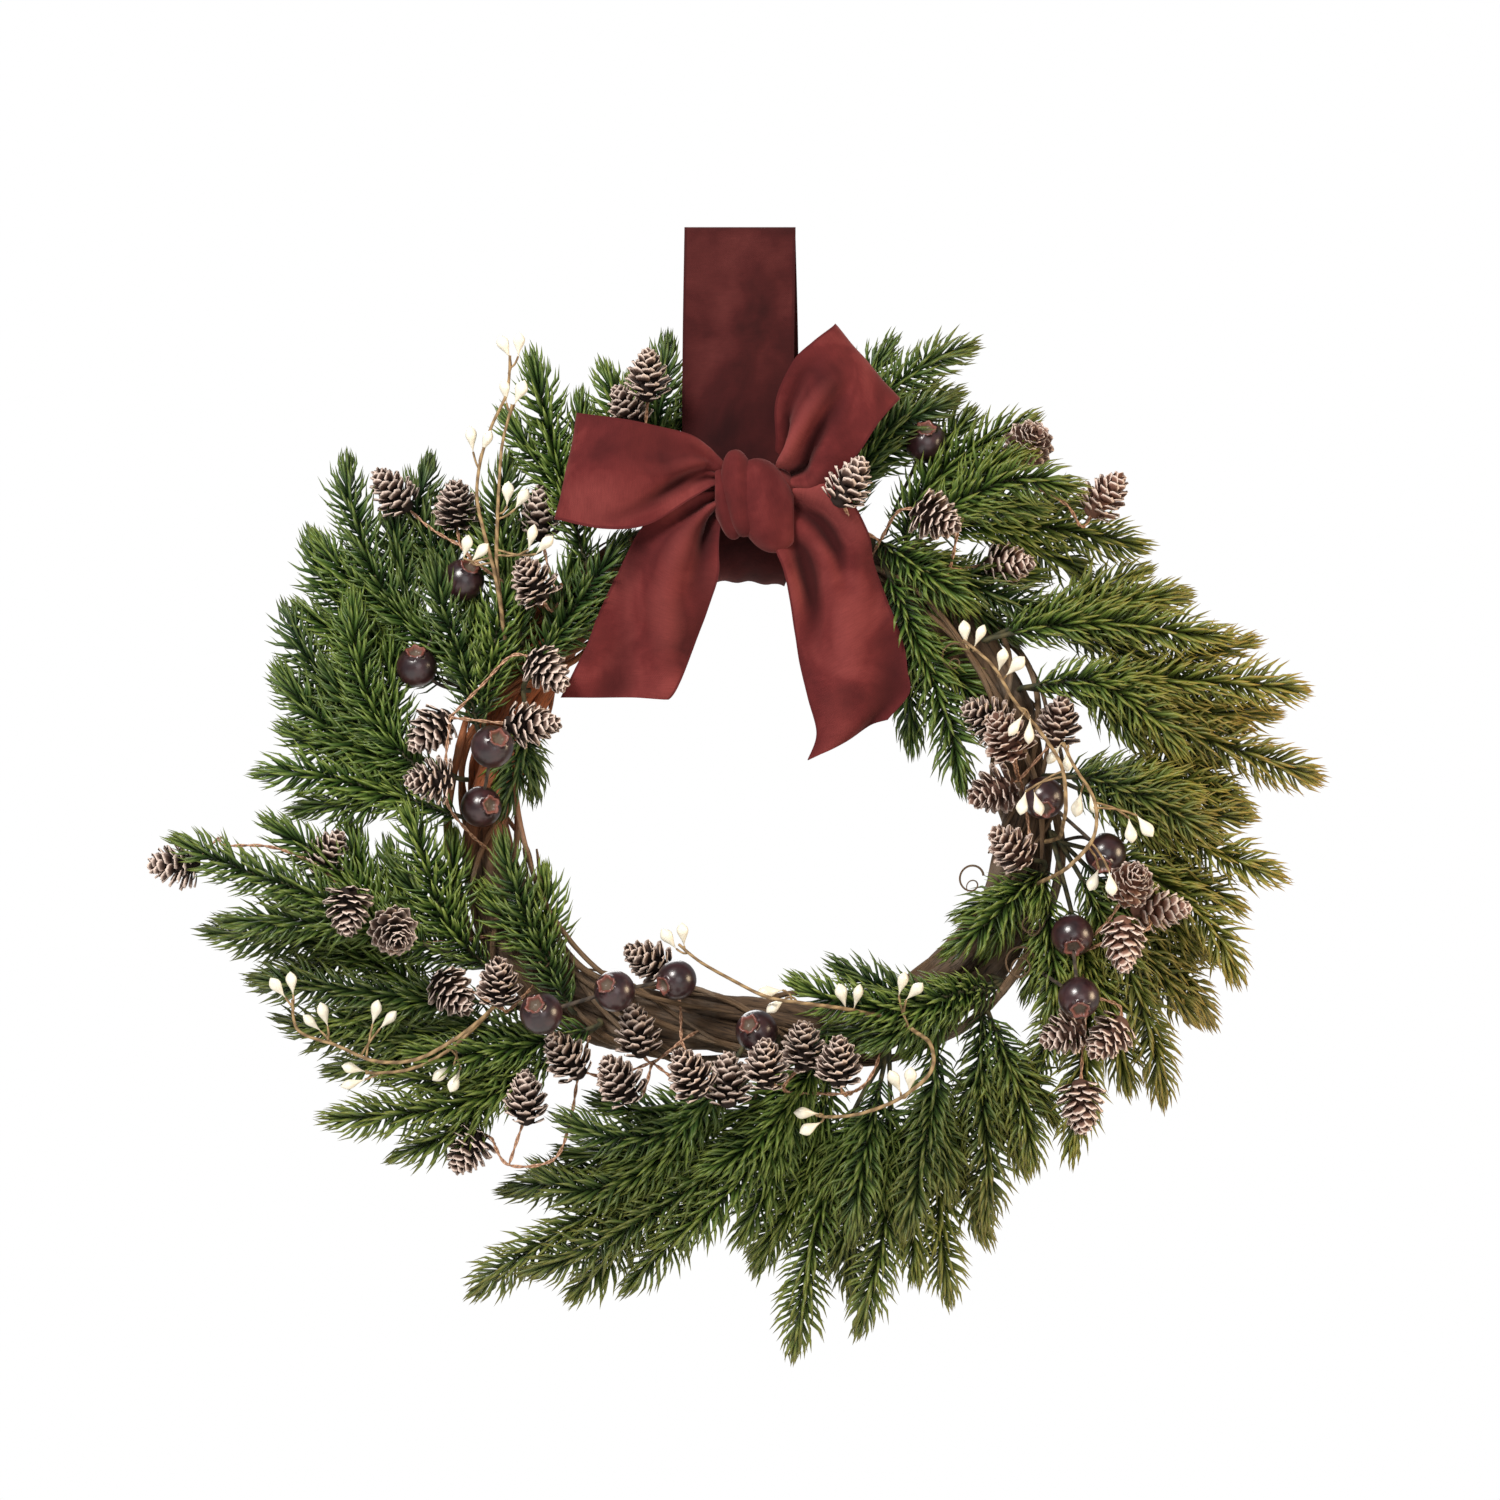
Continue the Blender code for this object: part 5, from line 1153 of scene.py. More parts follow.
for number, stems in enumerate(pickStems):
    chains, fat, leafy, toTip, reach, tint, gilt = [], [], [], [], [], [], []
    for index, stem in enumerate(stems + [twig for one in stems for twig in sideTwigs(one)]):
        total = runLength(stem)
        bare = min(max(22 * mm, total - 78 * mm), total * 0.45) * spruce["bareShare"]
        if index >= len(stems):
            bare = 3 * mm
        chain = evenly(stem, 2.5 * mm)
        ways = [total * i / (len(chain) - 1) for i in range(len(chain))]
        chains.append(chain)
        fat.append([spruce["twigRadius"] * (1 - 0.6 * way / total) for way in ways])
        leafy.append([1.0 if way > bare else 0.0 for way in ways])
        toTip.append([total - way for way in ways])
        # needles are shorter on the first stretch and at the tip
        reach.append([min(1.0, 0.72 + 0.28 * (way - bare) / (14 * mm),
                          0.74 + 0.26 * (total - way) / (12 * mm)) if way > bare else 0.7 for way in ways])
        shade = chance.random()
        tint.append([shade] * len(chain))
        gilt.append([needleWarmLightAt(p) for p in chain])
    base = linePiece("spruceSprays%02d" % (number + 1), chains, {
        "fat": fat, "leafy": leafy, "toTip": toTip, "reach": reach, "tint": tint, "gilt": gilt})
    piece = grown(base, trees["needles"], {
        "Needle Gap": spruce["needleGap"], "Needles": needleKinds, "Lean": spruce["lean"],
        "Tip Lean": spruce["tipLean"], "Tip Reach": spruce["tipReach"], "Seed": 40 + number,
        "Twig Finish": finish["twig"], "Finish": finish["needle"]})
    stands(piece, "spruce_green", "spruce_pick_%02d" % (number + 1))
dropKinds(needleKinds)

print("wreath: winding the vines")

vines = {
    "strands": 15, "fatLeast": 2.4 * mm, "fatMost": 5.2 * mm, "bundle": 12.0 * mm, "turns": (1, 2, 2, 3),
    "outside": 16.8 * mm, "thinOut": 15.5 * mm, "thinWave": 2.2 * mm, "thinRows": 160,
    "strapHalf": 34 * mm, "strapFade": 16 * mm, "tuckedOut": 15.0 * mm, "tendrilRows": 45,
    "thin": 12, "thinRadius": 1.3 * mm, "sides": 11, "knobs": 0.55, "rows": 260,
}


def bundleSpot(share, out, turn):
    # a point of the bundle at this share of the way round, this far out from its middle line
    count = len(ringLine)
    at = share % 1.0 * count
    a, b = ringLine[int(at) % count], ringLine[(int(at) + 1) % count]
    centre = a.lerp(b, at - int(at))
    ahead = (ringLine[(int(at) + 6) % count] - ringLine[int(at) - 6]).normalized()
    toFront = Vector((0, -1, 0))
    outward = toFront.cross(ahead).normalized()
    return centre + out * (outward * math.cos(turn) + toFront * math.sin(turn))


def barkWarmLightAt(p):
    # painted warm light: the inner left of the ring is coloured a warmer, redder bark, where a warm light
    # falls
    away = p - layout["ringCentre"]
    return held((-away.x - 0.055) / 0.05) * held((away.z + 0.04) / 0.05)


chance = random.Random(5)
thickChains, thickFat, thinChains, thinFat = [], [], [], []
for strand in range(vines["strands"]):
    out = vines["bundle"] * math.sqrt((strand + 0.35) / vines["strands"])
    phase = strand * goldenTurn
    turns = chance.choice(vines["turns"])
    fat = vines["fatMost"] - (vines["fatMost"] - vines["fatLeast"]) * chance.random()
    wave, start, span = chance.uniform(0, 6), chance.random(), chance.uniform(0.8, 1.04)
    chain, sizes = [], []
    for row in range(vines["rows"] + 1):
        way = row / vines["rows"] * span
        share = start + way
        wander = 1.5 * mm * math.sin(2 * math.pi * 5 * share + wave)
        wander += 1.0 * mm * math.sin(2 * math.pi * 11 * share)
        reachOut = min(max(0.0, out + wander), vines["outside"] - fat)
        chain.append(bundleSpot(share, reachOut, phase + 2 * math.pi * turns * share))
        sizes.append(fat * (0.9 + 0.12 * math.sin(17 * share + wave))
                     * min(1.0, 0.25 + way * 14, 0.25 + (span - way) * 14))
    thickChains.append(chain)
    thickFat.append(sizes)
for strand in range(vines["thin"]):
    phase, turns = chance.uniform(0, 6.28), chance.choice((2, 3, 4, 5))
    wave, start, span = chance.uniform(0, 6), chance.random(), chance.uniform(0.3, 0.6)
    fat = vines["thinRadius"] * chance.uniform(0.7, 1.2)
    chain, sizes = [], []
    for row in range(vines["thinRows"] + 1):
        way = row / vines["thinRows"] * span
        share = start + way
        out = vines["thinOut"] + vines["thinWave"] * math.sin(2 * math.pi * 6 * share + wave)
        spot = bundleSpot(share, out, 0.0)
        if spot.z > layout["ringCentre"].z:  # under the ribbon's wrap they lie in the bundle
            tuck = 1 - held((abs(spot.x) - vines["strapHalf"]) / vines["strapFade"])
            out -= tuck * max(0.0, out - vines["tuckedOut"] + fat)
        chain.append(bundleSpot(share, out, phase + 2 * math.pi * turns * share))
        sizes.append(fat * min(1.0, 0.3 + way * 20, 0.3 + (span - way) * 20))
    thinChains.append(chain)
    thinFat.append(sizes)
# strands that stand off the bundle, and curled tendrils, at (across, up, depth) places
looseVines = [
    (1.9, [(-128, 40, -6), (-139, -12, -12), (-135, -42, -14), (-128, -70, -12), (-110, -92, -8)]),
    (1.6, [(-99, -30, -14), (-93, -62, -18), (-78, -84, -18), (-50, -95, -14)]),
    (2.2, [(60, -124, -10), (96, -108, -16), (124, -74, -16), (137, -34, -12), (130, 4, -8)]),
    (1.5, [(50, 96, -14), (88, 66, -20), (112, 32, -22), (127, -6, -20), (128, -40, -14)]),
    (1.3, [(30, 104, -16), (70, 88, -22), (100, 50, -24), (116, 8, -22)]),
    (1.2, [(-110, 20, -22), (-106, -20, -24), (-92, -60, -22), (-60, -92, -20), (-10, -104, -20)]),
]
for fat, spots in looseVines:
    chain = smoothThrough([place(x, z, d * mm) for x, z, d in spots], 3 * mm)
    thinChains.append(chain)
    thinFat.append([fat * mm * min(1.0, 0.3 + 0.08 * min(i, len(chain) - 1 - i)) for i in range(len(chain))])
tendrils = [((118, -80, -24), 7.0, 2.3, 1), ((124, -62, -26), 5.5, 1.8, -1), ((96, -42, -22), 6.0, 1.6, 1),
            ((-96, -76, -22), 6.0, 1.7, -1), ((88, 58, -24), 6.0, 1.5, 1), ((-100, 30, -24), 5.0, 1.6, 1)]
for (x, z, d), wide, loops, hand in tendrils:
    middle = place(x, z, d * mm)
    chain = []
    for row in range(vines["tendrilRows"] + 1):
        share = row / vines["tendrilRows"]
        turn = 2 * math.pi * loops * share * hand
        radius = wide * mm * (1 - 0.75 * share)
        chain.append(middle + Vector((radius * math.cos(turn), -6 * mm * share,
                                      radius * math.sin(turn) - 6 * mm * share)))
    thinChains.append(chain)
    thinFat.append([0.55 * mm * (1 - 0.6 * i / (len(chain) - 1)) for i in range(len(chain))])
bundle = wound("vineBundle", thickChains, thickFat, vines["sides"], vines["knobs"], 1.4, "vine",
               rusty=[[barkWarmLightAt(p) for p in chain] for chain in thickChains])
loose = wound("looseVines", thinChains, thinFat, 7, 0.5, 1.6, "tendril",
              rusty=[[barkWarmLightAt(p) for p in chain] for chain in thinChains])
stands(gathered("vineBundle", [bundle, loose]), "vine_bark", "vine_ring")

print("wreath: cones on their wires")

cones = {"scales": 46, "scaleLength": 8.4 * mm, "scaleWidth": 7.2 * mm, "scaleThick": 0.5 * mm,
         "length": 19.5 * mm, "core": 4.2 * mm, "wireRadius": 0.42 * mm, "wireApart": 0.42 * mm,
         "wireStep": 0.9 * mm, "wireTwist": 0.42,
         "kinds": ((0.10, 1.10, 1.0), (-0.12, 1.0, 0.92), (0.28, 1.2, 1.08))}  # open base, open tip, stretch


def scalePiece(name):
    # one cone scale from its root at the origin out along +X, cupped and rounded at its rim
    rows, columns = 4, 3
    verts, rim = [], []
    length, width, thick = cones["scaleLength"], cones["scaleWidth"], cones["scaleThick"]
    for side in (1, -1):
        for row in range(rows + 1):
            share = row / rows
            half = width / 2 * (0.28 + 0.72 * math.sin(math.pi / 2 * min(1.0, share * 1.45))) \
                * math.sqrt(max(0.0, 1 - max(0.0, (share - 0.62) / 0.40) ** 2))
            for column in range(columns + 1):
                across = 2 * column / columns - 1
                x = share * length * (1 - 0.10 * across * across)
                z = 0.13 * length * across * across * share + 0.16 * length * share * share
                verts.append((x, across * half, z + side * thick / 2 * (1 - 0.5 * share)))
                rim.append(max(share ** 2.2, abs(across) ** 3 * min(1.0, share * 1.7)))
    count = (rows + 1) * (columns + 1)
    faces = []
    for row in range(rows):
        for column in range(columns):
            a = row * (columns + 1) + column
            b, c, d = a + 1, a + columns + 2, a + columns + 1
            faces += [(a, d, c, b), (count + a, count + b, count + c, count + d)]
    wide = columns + 1
    edge = list(range(wide)) + [wide * r + columns for r in range(1, rows + 1)]
    edge += [wide * rows + c for c in range(columns - 1, -1, -1)] + [wide * r for r in range(rows - 1, 0, -1)]
    for i, a in enumerate(edge):
        b = edge[(i + 1) % len(edge)]
        faces.append((a, b, count + b, count + a))
    piece = meshPiece(name, verts, faces, {"rim": rim})
    fixed = bmesh.new()
    fixed.from_mesh(piece.data)
    bmesh.ops.recalc_face_normals(fixed, faces=fixed.faces)
    fixed.to_mesh(piece.data)
    fixed.free()
    return piece


def turned(profile, sides, values):
    # a turned body about Z through the profile's (height, radius) rows
    verts, numbers, faces = [], [], []
    for (height, radius), value in zip(profile, values):
        for k in range(sides):
            turn = 2 * math.pi * k / sides
            verts.append((radius * math.cos(turn), radius * math.sin(turn), height))
            numbers.append(value)
    for row in range(len(profile) - 1):
        for k in range(sides):
            n = (k + 1) % sides
            low = row * sides
            faces.append((low + k, low + n, low + sides + n, low + sides + k))
    faces += [tuple(range(sides - 1, -1, -1)), tuple(range(len(verts) - sides, len(verts)))]
    return verts, faces, numbers


scale = scalePiece("coneScalePiece")
coneKinds = []
coneCore = [(-11.5, 1.6), (-10.2, 3.8), (-4.0, 4.3), (2.0, 3.6), (7.0, 2.2), (9.6, 0.8)]
for kind, (openBase, openTip, stretch) in enumerate(cones["kinds"]):
    profile = [(h * mm * stretch, r * mm) for h, r in coneCore]
    verts, faces, numbers = turned(profile, 10, [0.0] * len(profile))
    core = meshPiece("coneKind%d" % kind, verts, faces, {"rim": numbers})
    coneKinds.append(grown(core, trees["cone"], {
        "Scales": cones["scales"], "Scale Piece": scale, "Length": cones["length"] * stretch,
        "Core Radius": cones["core"], "Open Base": openBase, "Open Tip": openTip, "Seed": 3 + kind,
        "Finish": finish["cone"]}))
bpy.data.objects.remove(scale)
coneBox = kindsOf("coneKinds", coneKinds)


def wirePair(chain, apart):
    # two thin wires twisted round each other along a chain
    fine = smoothThrough(chain, cones["wireStep"])
    frames = turningFrames(fine)
    pair = []
    for hand in (0, math.pi):
        twisted = []
        for row, (point, (_, side, up)) in enumerate(zip(fine, frames)):
            turn = row * cones["wireTwist"] + hand
            twisted.append(point + apart * (side * math.cos(turn) + up * math.sin(turn)))
        pair.append(twisted)
    return pair


def facingTurn(axis, spin):
    return (axis.to_track_quat("Z", "Y").to_matrix() @ Matrix.Rotation(spin, 3, "Z")).to_euler()


chance = random.Random(9)
for number, ((owner, placed, seat, ends), chains) in enumerate(zip(coneSprigs, coneWires)):
    spots, turns, sizes, kinds, tints = [], [], [], [], []
    for middle, axis, single in placed:
        spots.append(middle - axis * 0.6 * mm)
        turns.append(tuple(facingTurn(axis, chance.uniform(0, 6.28))))
        sizes.append(chance.uniform(0.96, 1.04))
        kinds.append(chance.randrange(3))
        # the tint is painted warm light, rosier toward the right of the wreath, with some random tone
        away = middle - layout["ringCentre"]
        tints.append(held(0.25 + away.x / 0.28 + chance.uniform(-0.2, 0.2)))
    base = pointPiece("cones%02d" % (number + 1), spots, turns, sizes, kinds, tints)
    dressed = grown(base, trees["set"], {"Pieces": coneBox, "Finish": finish["cone"]})
    pairs = [p for chain in chains for p in wirePair(chain, cones["wireApart"])]
    wires = wound("coneWires%02d" % (number + 1), pairs, [[cones["wireRadius"]] * len(p) for p in pairs],
                  6, 0.15, 1.5, "copper")
    sprig = gathered("coneSprig%02d" % (number + 1), [dressed, wires])
    stands(sprig, "cone_brown", "cone_sprig_%02d" % (number + 1))
dropKinds(coneBox)

print("wreath: berries and pips")

berries = {"radius": 9.4 * mm, "sides": 30, "stem": 0.85 * mm, "stemStep": 1.2 * mm, "spin": 1.7}


def berryPiece(name):
    # a round berry whose crown is a low rim with lobes round a rough pit
    r = berries["radius"] / mm
    profile, crown = [], []
    for row in range(15):
        angle = math.pi * (0.02 + 0.83 * row / 14)
        profile.append((-r * math.cos(angle), r * math.sin(angle)))
        crown.append(0.0)
    profile += [(0.915 * r, 0.49 * r), (0.975 * r, 0.45 * r), (0.99 * r, 0.40 * r), (0.93 * r, 0.345 * r),
                (0.80 * r, 0.29 * r), (0.72 * r, 0.18 * r), (0.71 * r, 0.04 * r)]
    crown += [0.12, 0.35, 0.45, 0.6, 0.8, 0.95, 1.0]
    verts, faces, numbers = turned([(h * mm, q * mm) for h, q in profile], berries["sides"], crown)
    for index, (x, y, z) in enumerate(verts):
        if numbers[index] > 0.1:
            turn = math.atan2(y, x)
            lobe = 1 + 0.10 * math.cos(5 * turn) + 0.05 * math.sin(11 * turn)
            rough = 0.18 * mm * noise.noise(Vector((x, y, z)) * 900)
            rise = 0.35 * mm * math.cos(5 * turn) * (numbers[index] < 0.5)
            verts[index] = (x * lobe, y * lobe, z + rise + rough)
    return meshPiece(name, verts, faces, {"crown": numbers})


berryBox = kindsOf("berryKinds", [berryPiece("berryKind")])


for number, ((owner, placed), chains) in enumerate(zip(berryGroups, berryStems)):
    turns = [tuple(facingTurn(axis, berries["spin"] * i)) for i, (_, axis, _) in enumerate(placed)]
    base = pointPiece("berrySet%02d" % (number + 1), [m for m, *_ in placed], turns,
                      [1.0 - 0.03 * (i % 3) for i in range(len(placed))], [0] * len(placed))
    dressed = grown(base, trees["set"], {"Pieces": berryBox, "Finish": finish["berry"]})
    fine = [smoothThrough(chain, berries["stemStep"]) for chain in chains]
    stems = wound("berryStems%02d" % (number + 1), fine, [[berries["stem"]] * len(c) for c in fine],
                  8, 0.4, 1.5, "darkStem")
    group = gathered("berryGroup%02d" % (number + 1), [dressed, stems])
    stands(group, "berry_dark", "berries_%02d" % (number + 1))
dropKinds(berryBox)

pipSizes = {"length": 12.8 * mm, "wide": 3.1 * mm, "flat": 0.78, "tail": 0.5 * mm, "stem": 1.0 * mm,
            "stemStep": 1.5 * mm, "tailStep": 0.9 * mm, "spin": 0.9}


def pipPiece(name):
    # a teardrop along +Z with its narrow end at the origin
    rows = 11
    shares = [i / (rows - 1) for i in range(rows)]
    profile = []
    for s in shares:
        swell = math.sin(math.pi * min(1.0, s ** 1.7 * 0.995)) * (0.35 + 0.65 * s) * 1.18
        profile.append((s * pipSizes["length"] - 0.8 * mm, max(0.16 * mm, swell * pipSizes["wide"])))
    verts, faces, numbers = turned(profile, 14, shares)
    return meshPiece(name, [(x, y * pipSizes["flat"], z) for x, y, z in verts], faces, {"along": numbers})


pipBox = kindsOf("pipKinds", [pipPiece("pipKind")])
for number, (chains, drops) in enumerate(pipSprigs):
    turns = [tuple(facingTurn(axis, pipSizes["spin"] * i)) for i, (*_, axis) in enumerate(drops)]
    base = pointPiece("pipSet%02d" % (number + 1), [spot for _, spot, _ in drops], turns,
                      [0.94 + 0.04 * (i % 3) for i in range(len(drops))], [0] * len(drops))
    dressed = grown(base, trees["set"], {"Pieces": pipBox, "Finish": finish["pip"]})
    fine = [smoothThrough(chain, pipSizes["stemStep"]) for chain in chains]
    tails = []
    for near, spot, axis in drops:
        bow = near.lerp(spot, 0.6) - axis * 1.2 * mm
        tails.append(smoothThrough([near, bow, spot + axis * 0.6 * mm], pipSizes["tailStep"]))
    stemFat = [[pipSizes["stem"] * (1 - 0.35 * i / len(c)) for i in range(len(c))] for c in fine]
    stemFat += [[pipSizes["tail"]] * len(c) for c in tails]
    stems = wound("pipStems%02d" % (number + 1), fine + tails, stemFat, 8, 0.35, 1.8, "paper")
    sprig = gathered("pipSprig%02d" % (number + 1), [dressed, stems])
    stands(sprig, "pip_cream", "pip_sprig_%02d" % (number + 1))
dropKinds(pipBox)

print("wreath: tying the ribbon")

ribbon = {"width": 0.05, "thick": 0.55 * mm, "fold": 2.6 * mm, "rowGap": 1.6 * mm, "columns": 28,
          "strapRows": 230, "knotMiddle": (-1, 128), "knotDepth": -30.9 * mm, "knotLength": 62 * mm,
          "creaseDepth": 1.7, "crown": 1.5 * mm, "sharpAngle": 70}

# Ribbon edges: (depth, one edge, the other edge) at each station, from the knot outwards
loopLeft = [
    (-33, (-20, 147), (-18, 136)), (-40, (-30, 156), (-30, 128)), (-45, (-47, 161), (-49, 116)),
    (-46, (-64, 164), (-69, 114)), (-41, (-79, 166), (-89, 118)), (-35, (-80, 166), (-90, 118)),
    (-29, (-78, 164), (-86, 119)), (-25, (-62, 158), (-67, 120)), (-25, (-45, 152), (-47, 124)),
    (-28, (-28, 147), (-28, 131)),
]
loopRight = [
    (-33, (11, 150), (18, 132)), (-40, (9, 170), (29, 130)), (-46, (16, 189), (45, 147)),
    (-46, (25, 198), (55, 162)), (-41, (34, 205), (63, 171)), (-35, (35, 206), (64, 172)),
    (-29, (32, 202), (61, 170)), (-25, (24, 188), (50, 162)), (-25, (19, 172), (39, 152)),
    (-28, (17, 158), (28, 144)),
]
tailLeft = [
    (-31, (-21, 131), (-17, 119)), (-36, (-42, 124), (-17, 105)), (-38, (-54, 112), (-17, 93)),
    (-34, (-63, 94), (-22, 77)), (-30, (-71, 76), (-27, 64)), (-33, (-76, 62), (-32, 51)),
    (-36, (-82, 50), (-36, 42)), (-36, (-88, 38), (-40, 38)),
]
tailRight = [
    (-31, (13, 115), (18, 132)), (-36, (9, 106), (37, 129)), (-38, (12, 96), (49, 114)),
    (-34, (15, 82), (53, 98)), (-31, (17, 68), (59, 82)), (-33, (19, 54), (66, 64)),
    (-37, (23, 38), (68, 51)), (-36, (27, 22), (69, 40)), (-34, (23, 10), (59, 28)),
]


def clothPiece(name, grid, look, closed=False, folds=None):
    # a thin cloth whose middle surface has the given rows of points, with its flat size as its UV map
    rows, columns = len(grid), len(grid[0])
    spots = np.array([[tuple(p) for p in row] for row in grid])
    if closed:
        alongWay = np.roll(spots, -1, 0) - np.roll(spots, 1, 0)
    else:
        alongWay = np.gradient(spots, axis=0)
    normals = np.cross(np.gradient(spots, axis=1), alongWay)
    normals /= np.maximum(np.linalg.norm(normals, axis=2, keepdims=True), 1e-9)
    half = ribbon["thick"] / 2
    verts = np.concatenate([(spots + normals * half).reshape(-1, 3), (spots - normals * half).reshape(-1, 3)])
    under = rows * columns
    spans = rows if closed else rows - 1
    faces = []
    for i in range(spans):
        n = (i + 1) % rows
        for j in range(columns - 1):
            quad = (i * columns + j, i * columns + j + 1, n * columns + j + 1, n * columns + j)
            faces += [quad, tuple(v + under for v in quad[::-1])]
        for j, order in ((0, 1), (columns - 1, -1)):
            quad = (i * columns + j, n * columns + j, n * columns + j + under, i * columns + j + under)
            faces.append(quad[::order])
    if not closed:
        for i, order in ((0, -1), (rows - 1, 1)):
            for j in range(columns - 1):
                a = i * columns + j
                faces.append((a, a + 1, a + 1 + under, a + under)[::-order])
    mesh = bpy.data.meshes.new(name)
    mesh.from_pydata([tuple(v) for v in verts], [], faces)
    steps = np.linalg.norm(np.diff(spots[:, columns // 2], axis=0), axis=1)
    lengths = np.concatenate([[0.0], np.cumsum(steps)])
    laid = mesh.uv_layers.new(name="clothUv")
    for loop in mesh.loops:
        index = loop.vertex_index % under
        row = index // columns
        laid.data[loop.index].uv = (ribbon["width"] * (index % columns) / (columns - 1), lengths[row])
    fixed = bmesh.new()
    fixed.from_mesh(mesh)
    bmesh.ops.recalc_face_normals(fixed, faces=fixed.faces)
    fixed.to_mesh(mesh)
    fixed.free()
    if folds is not None:  # how far each point stands out of the cloth, for the shade in its valleys
        mesh.attributes.new("fold", "FLOAT", "POINT").data.foreach_set("value", np.ravel([folds, folds]))
    mesh.shade_smooth()
    mesh.set_sharp_from_angle(angle=math.radians(ribbon["sharpAngle"]))
    mesh.materials.append(look)
    return linked(name, mesh), lengths[-1]


def overRing(x):
    return min((p for p in ringLine if p.z > layout["ringCentre"].z), key=lambda p: abs(p.x - x)).z


def strapPiece():
    # the hanging ribbon: one loop of ribbon from the fold at its top down round the ring
    reach = ribbon["width"] / 2 + 6 * mm
    over = [v.co for v in solids["vine_ring"].data.vertices
            if v.co.z > layout["ringCentre"].z and abs(v.co.x) < reach]
    wrap = max(math.hypot(v.y, v.z - overRing(v.x)) for v in over)
    wrap += layout["gap"] + layout["ribbonThickness"] / 2
    top, fold = -ribbon["fold"], ribbon["fold"]
    rows, columns = ribbon["strapRows"], ribbon["columns"]
    grid = []
    for row in range(rows):
        share = row / rows
        pinch = math.exp(-((share - 0.5) / 0.12) ** 2)
        half = ribbon["width"] / 2 * (1 - 0.2 * pinch)
        shift = -0.9 * mm if 0.1 < share < 0.4 else 1.6 * mm if 0.6 < share < 0.9 else 0.0
        points = []
        for j in range(columns):
            u = j / (columns - 1)
            x = -half + 2 * half * u
            wrapZ = overRing(x * 0.9)
            if share < 0.1 or share > 0.9:
                turn = (share if share < 0.5 else share - 1) / 0.1 * math.pi / 2
                p = Vector((x, -fold * math.sin(turn), top + fold * math.cos(turn)))
            elif 0.35 <= share <= 0.65:
                turn = (share - 0.35) / 0.3 * math.pi
                crumple = pinch * 0.55 * mm * math.sin(2 * math.pi * 3.3 * u + 9 * share)
                p = Vector((x, -(wrap + crumple) * math.cos(turn), wrapZ - (wrap + crumple) * math.sin(turn)))
            else:
                down = (share - 0.1) / 0.25 if share < 0.5 else (0.9 - share) / 0.25
                side = -1 if share < 0.5 else 1
                p = Vector((x, side * (fold + (wrap - fold) * down), top + (wrapZ - top) * down))
                soft = math.sin(math.pi * down)
                p.y += soft * (0.55 * mm * math.sin(2 * math.pi * 1.3 * u + 3 * down)
                               + 0.9 * mm * noise.noise(Vector((u * 2.2, down * 3, side))))
            p.x += shift * math.sin(math.pi * min(1.0, max(0.0, (0.5 - abs(share - 0.5) - 0.1) / 0.3)))
            points.append(p)
        grid.append(points)
    return clothPiece("hangingRibbon", grid, finish["strap"], closed=True)


def seatOnKnot(point):
    # drawn in to the knot's surface, or left where it is when it already lies deep in the knot
    middle = place(*ribbon["knotMiddle"], ribbon["knotDepth"])
    near = layout["gap"] + layout["ribbonThickness"] / 2 + 0.25 * mm
    drawn = point.copy()
    for step in range(round((middle - point).length / (0.1 * mm))):
        if dress.trees[2].find_nearest(drawn)[3] <= near:
            return drawn
        drawn += (middle - drawn).normalized() * 0.1 * mm
    return point.copy()


def bowPiece(name, stations, ends, crease):
    # a ribbon between two edges, crowned across, gathered at the knot and creased as the tie pulls it
    first = smoothThrough([place(*a, d * mm) for d, a, b in stations], 0.5 * mm)
    other = smoothThrough([place(*b, d * mm) for d, a, b in stations], 0.5 * mm)
    rows = max(40, round(max(runLength(first), runLength(other)) / ribbon["rowGap"]))
    columns = ribbon["columns"]

    def at(chain, share):
        spot = share * (len(chain) - 1)
        low = min(int(spot), len(chain) - 2)
        return chain[low].lerp(chain[low + 1], spot - low)

    grid = []
    for row in range(rows):
        share = row / (rows - 1)
        a, b = at(first, share), at(other, share)
        points = []
        for j in range(columns):
            u = j / (columns - 1)
            points.append(a.lerp(b, u) + Vector((0, -ribbon["crown"] * 4 * u * (1 - u), 0)))
        grid.append(points)
    spots = np.array([[tuple(p) for p in row] for row in grid])
    normals = np.cross(np.gradient(spots, axis=1), np.gradient(spots, axis=0))
    normals /= np.maximum(np.linalg.norm(normals, axis=2, keepdims=True), 1e-9)
    if normals[rows // 8, columns // 2][1] > 0:
        normals = -normals
    folds = [[crease(row / (rows - 1), j / (columns - 1)) for j in range(columns)] for row in range(rows)]
    for row in range(rows):
        for j in range(columns):
            grid[row][j] += Vector(normals[row, j]) * folds[row][j] * ribbon["creaseDepth"] * mm
    for end in ends:
        for step in range(4):
            row = step if end == 0 else -1 - step
            fade = 1 - step / 4
            for j in range(columns):
                grid[row][j] = grid[row][j].lerp(seatOnKnot(grid[row][j]), fade)
    return clothPiece(name, grid, finish["ribbon"], folds=folds)


def swell(value, centre, width):
    return math.exp(-((value - centre) / width) ** 2)


def creaseLoopLeft(s, u):
    near = math.exp(-(min(s, 1 - s) / 0.16) ** 2)
    front = 1.0 if s < 0.45 else 0.0
    pleats = 1.5 * near * math.sin(2 * math.pi * 2.1 * u + 0.6)
    valley = -3.4 * front * swell(u, 0.50 + 1.15 * s, 0.11) * (1 - s / 0.5) if s < 0.5 else 0.0
    ridge = 1.8 * front * swell(u, 0.30 + 0.5 * s, 0.16) * max(0.0, 1 - s / 0.4)
    soft = 0.9 * noise.noise(Vector((s * 6, u * 2.4, 0.3)))
    return pleats + valley + ridge + soft


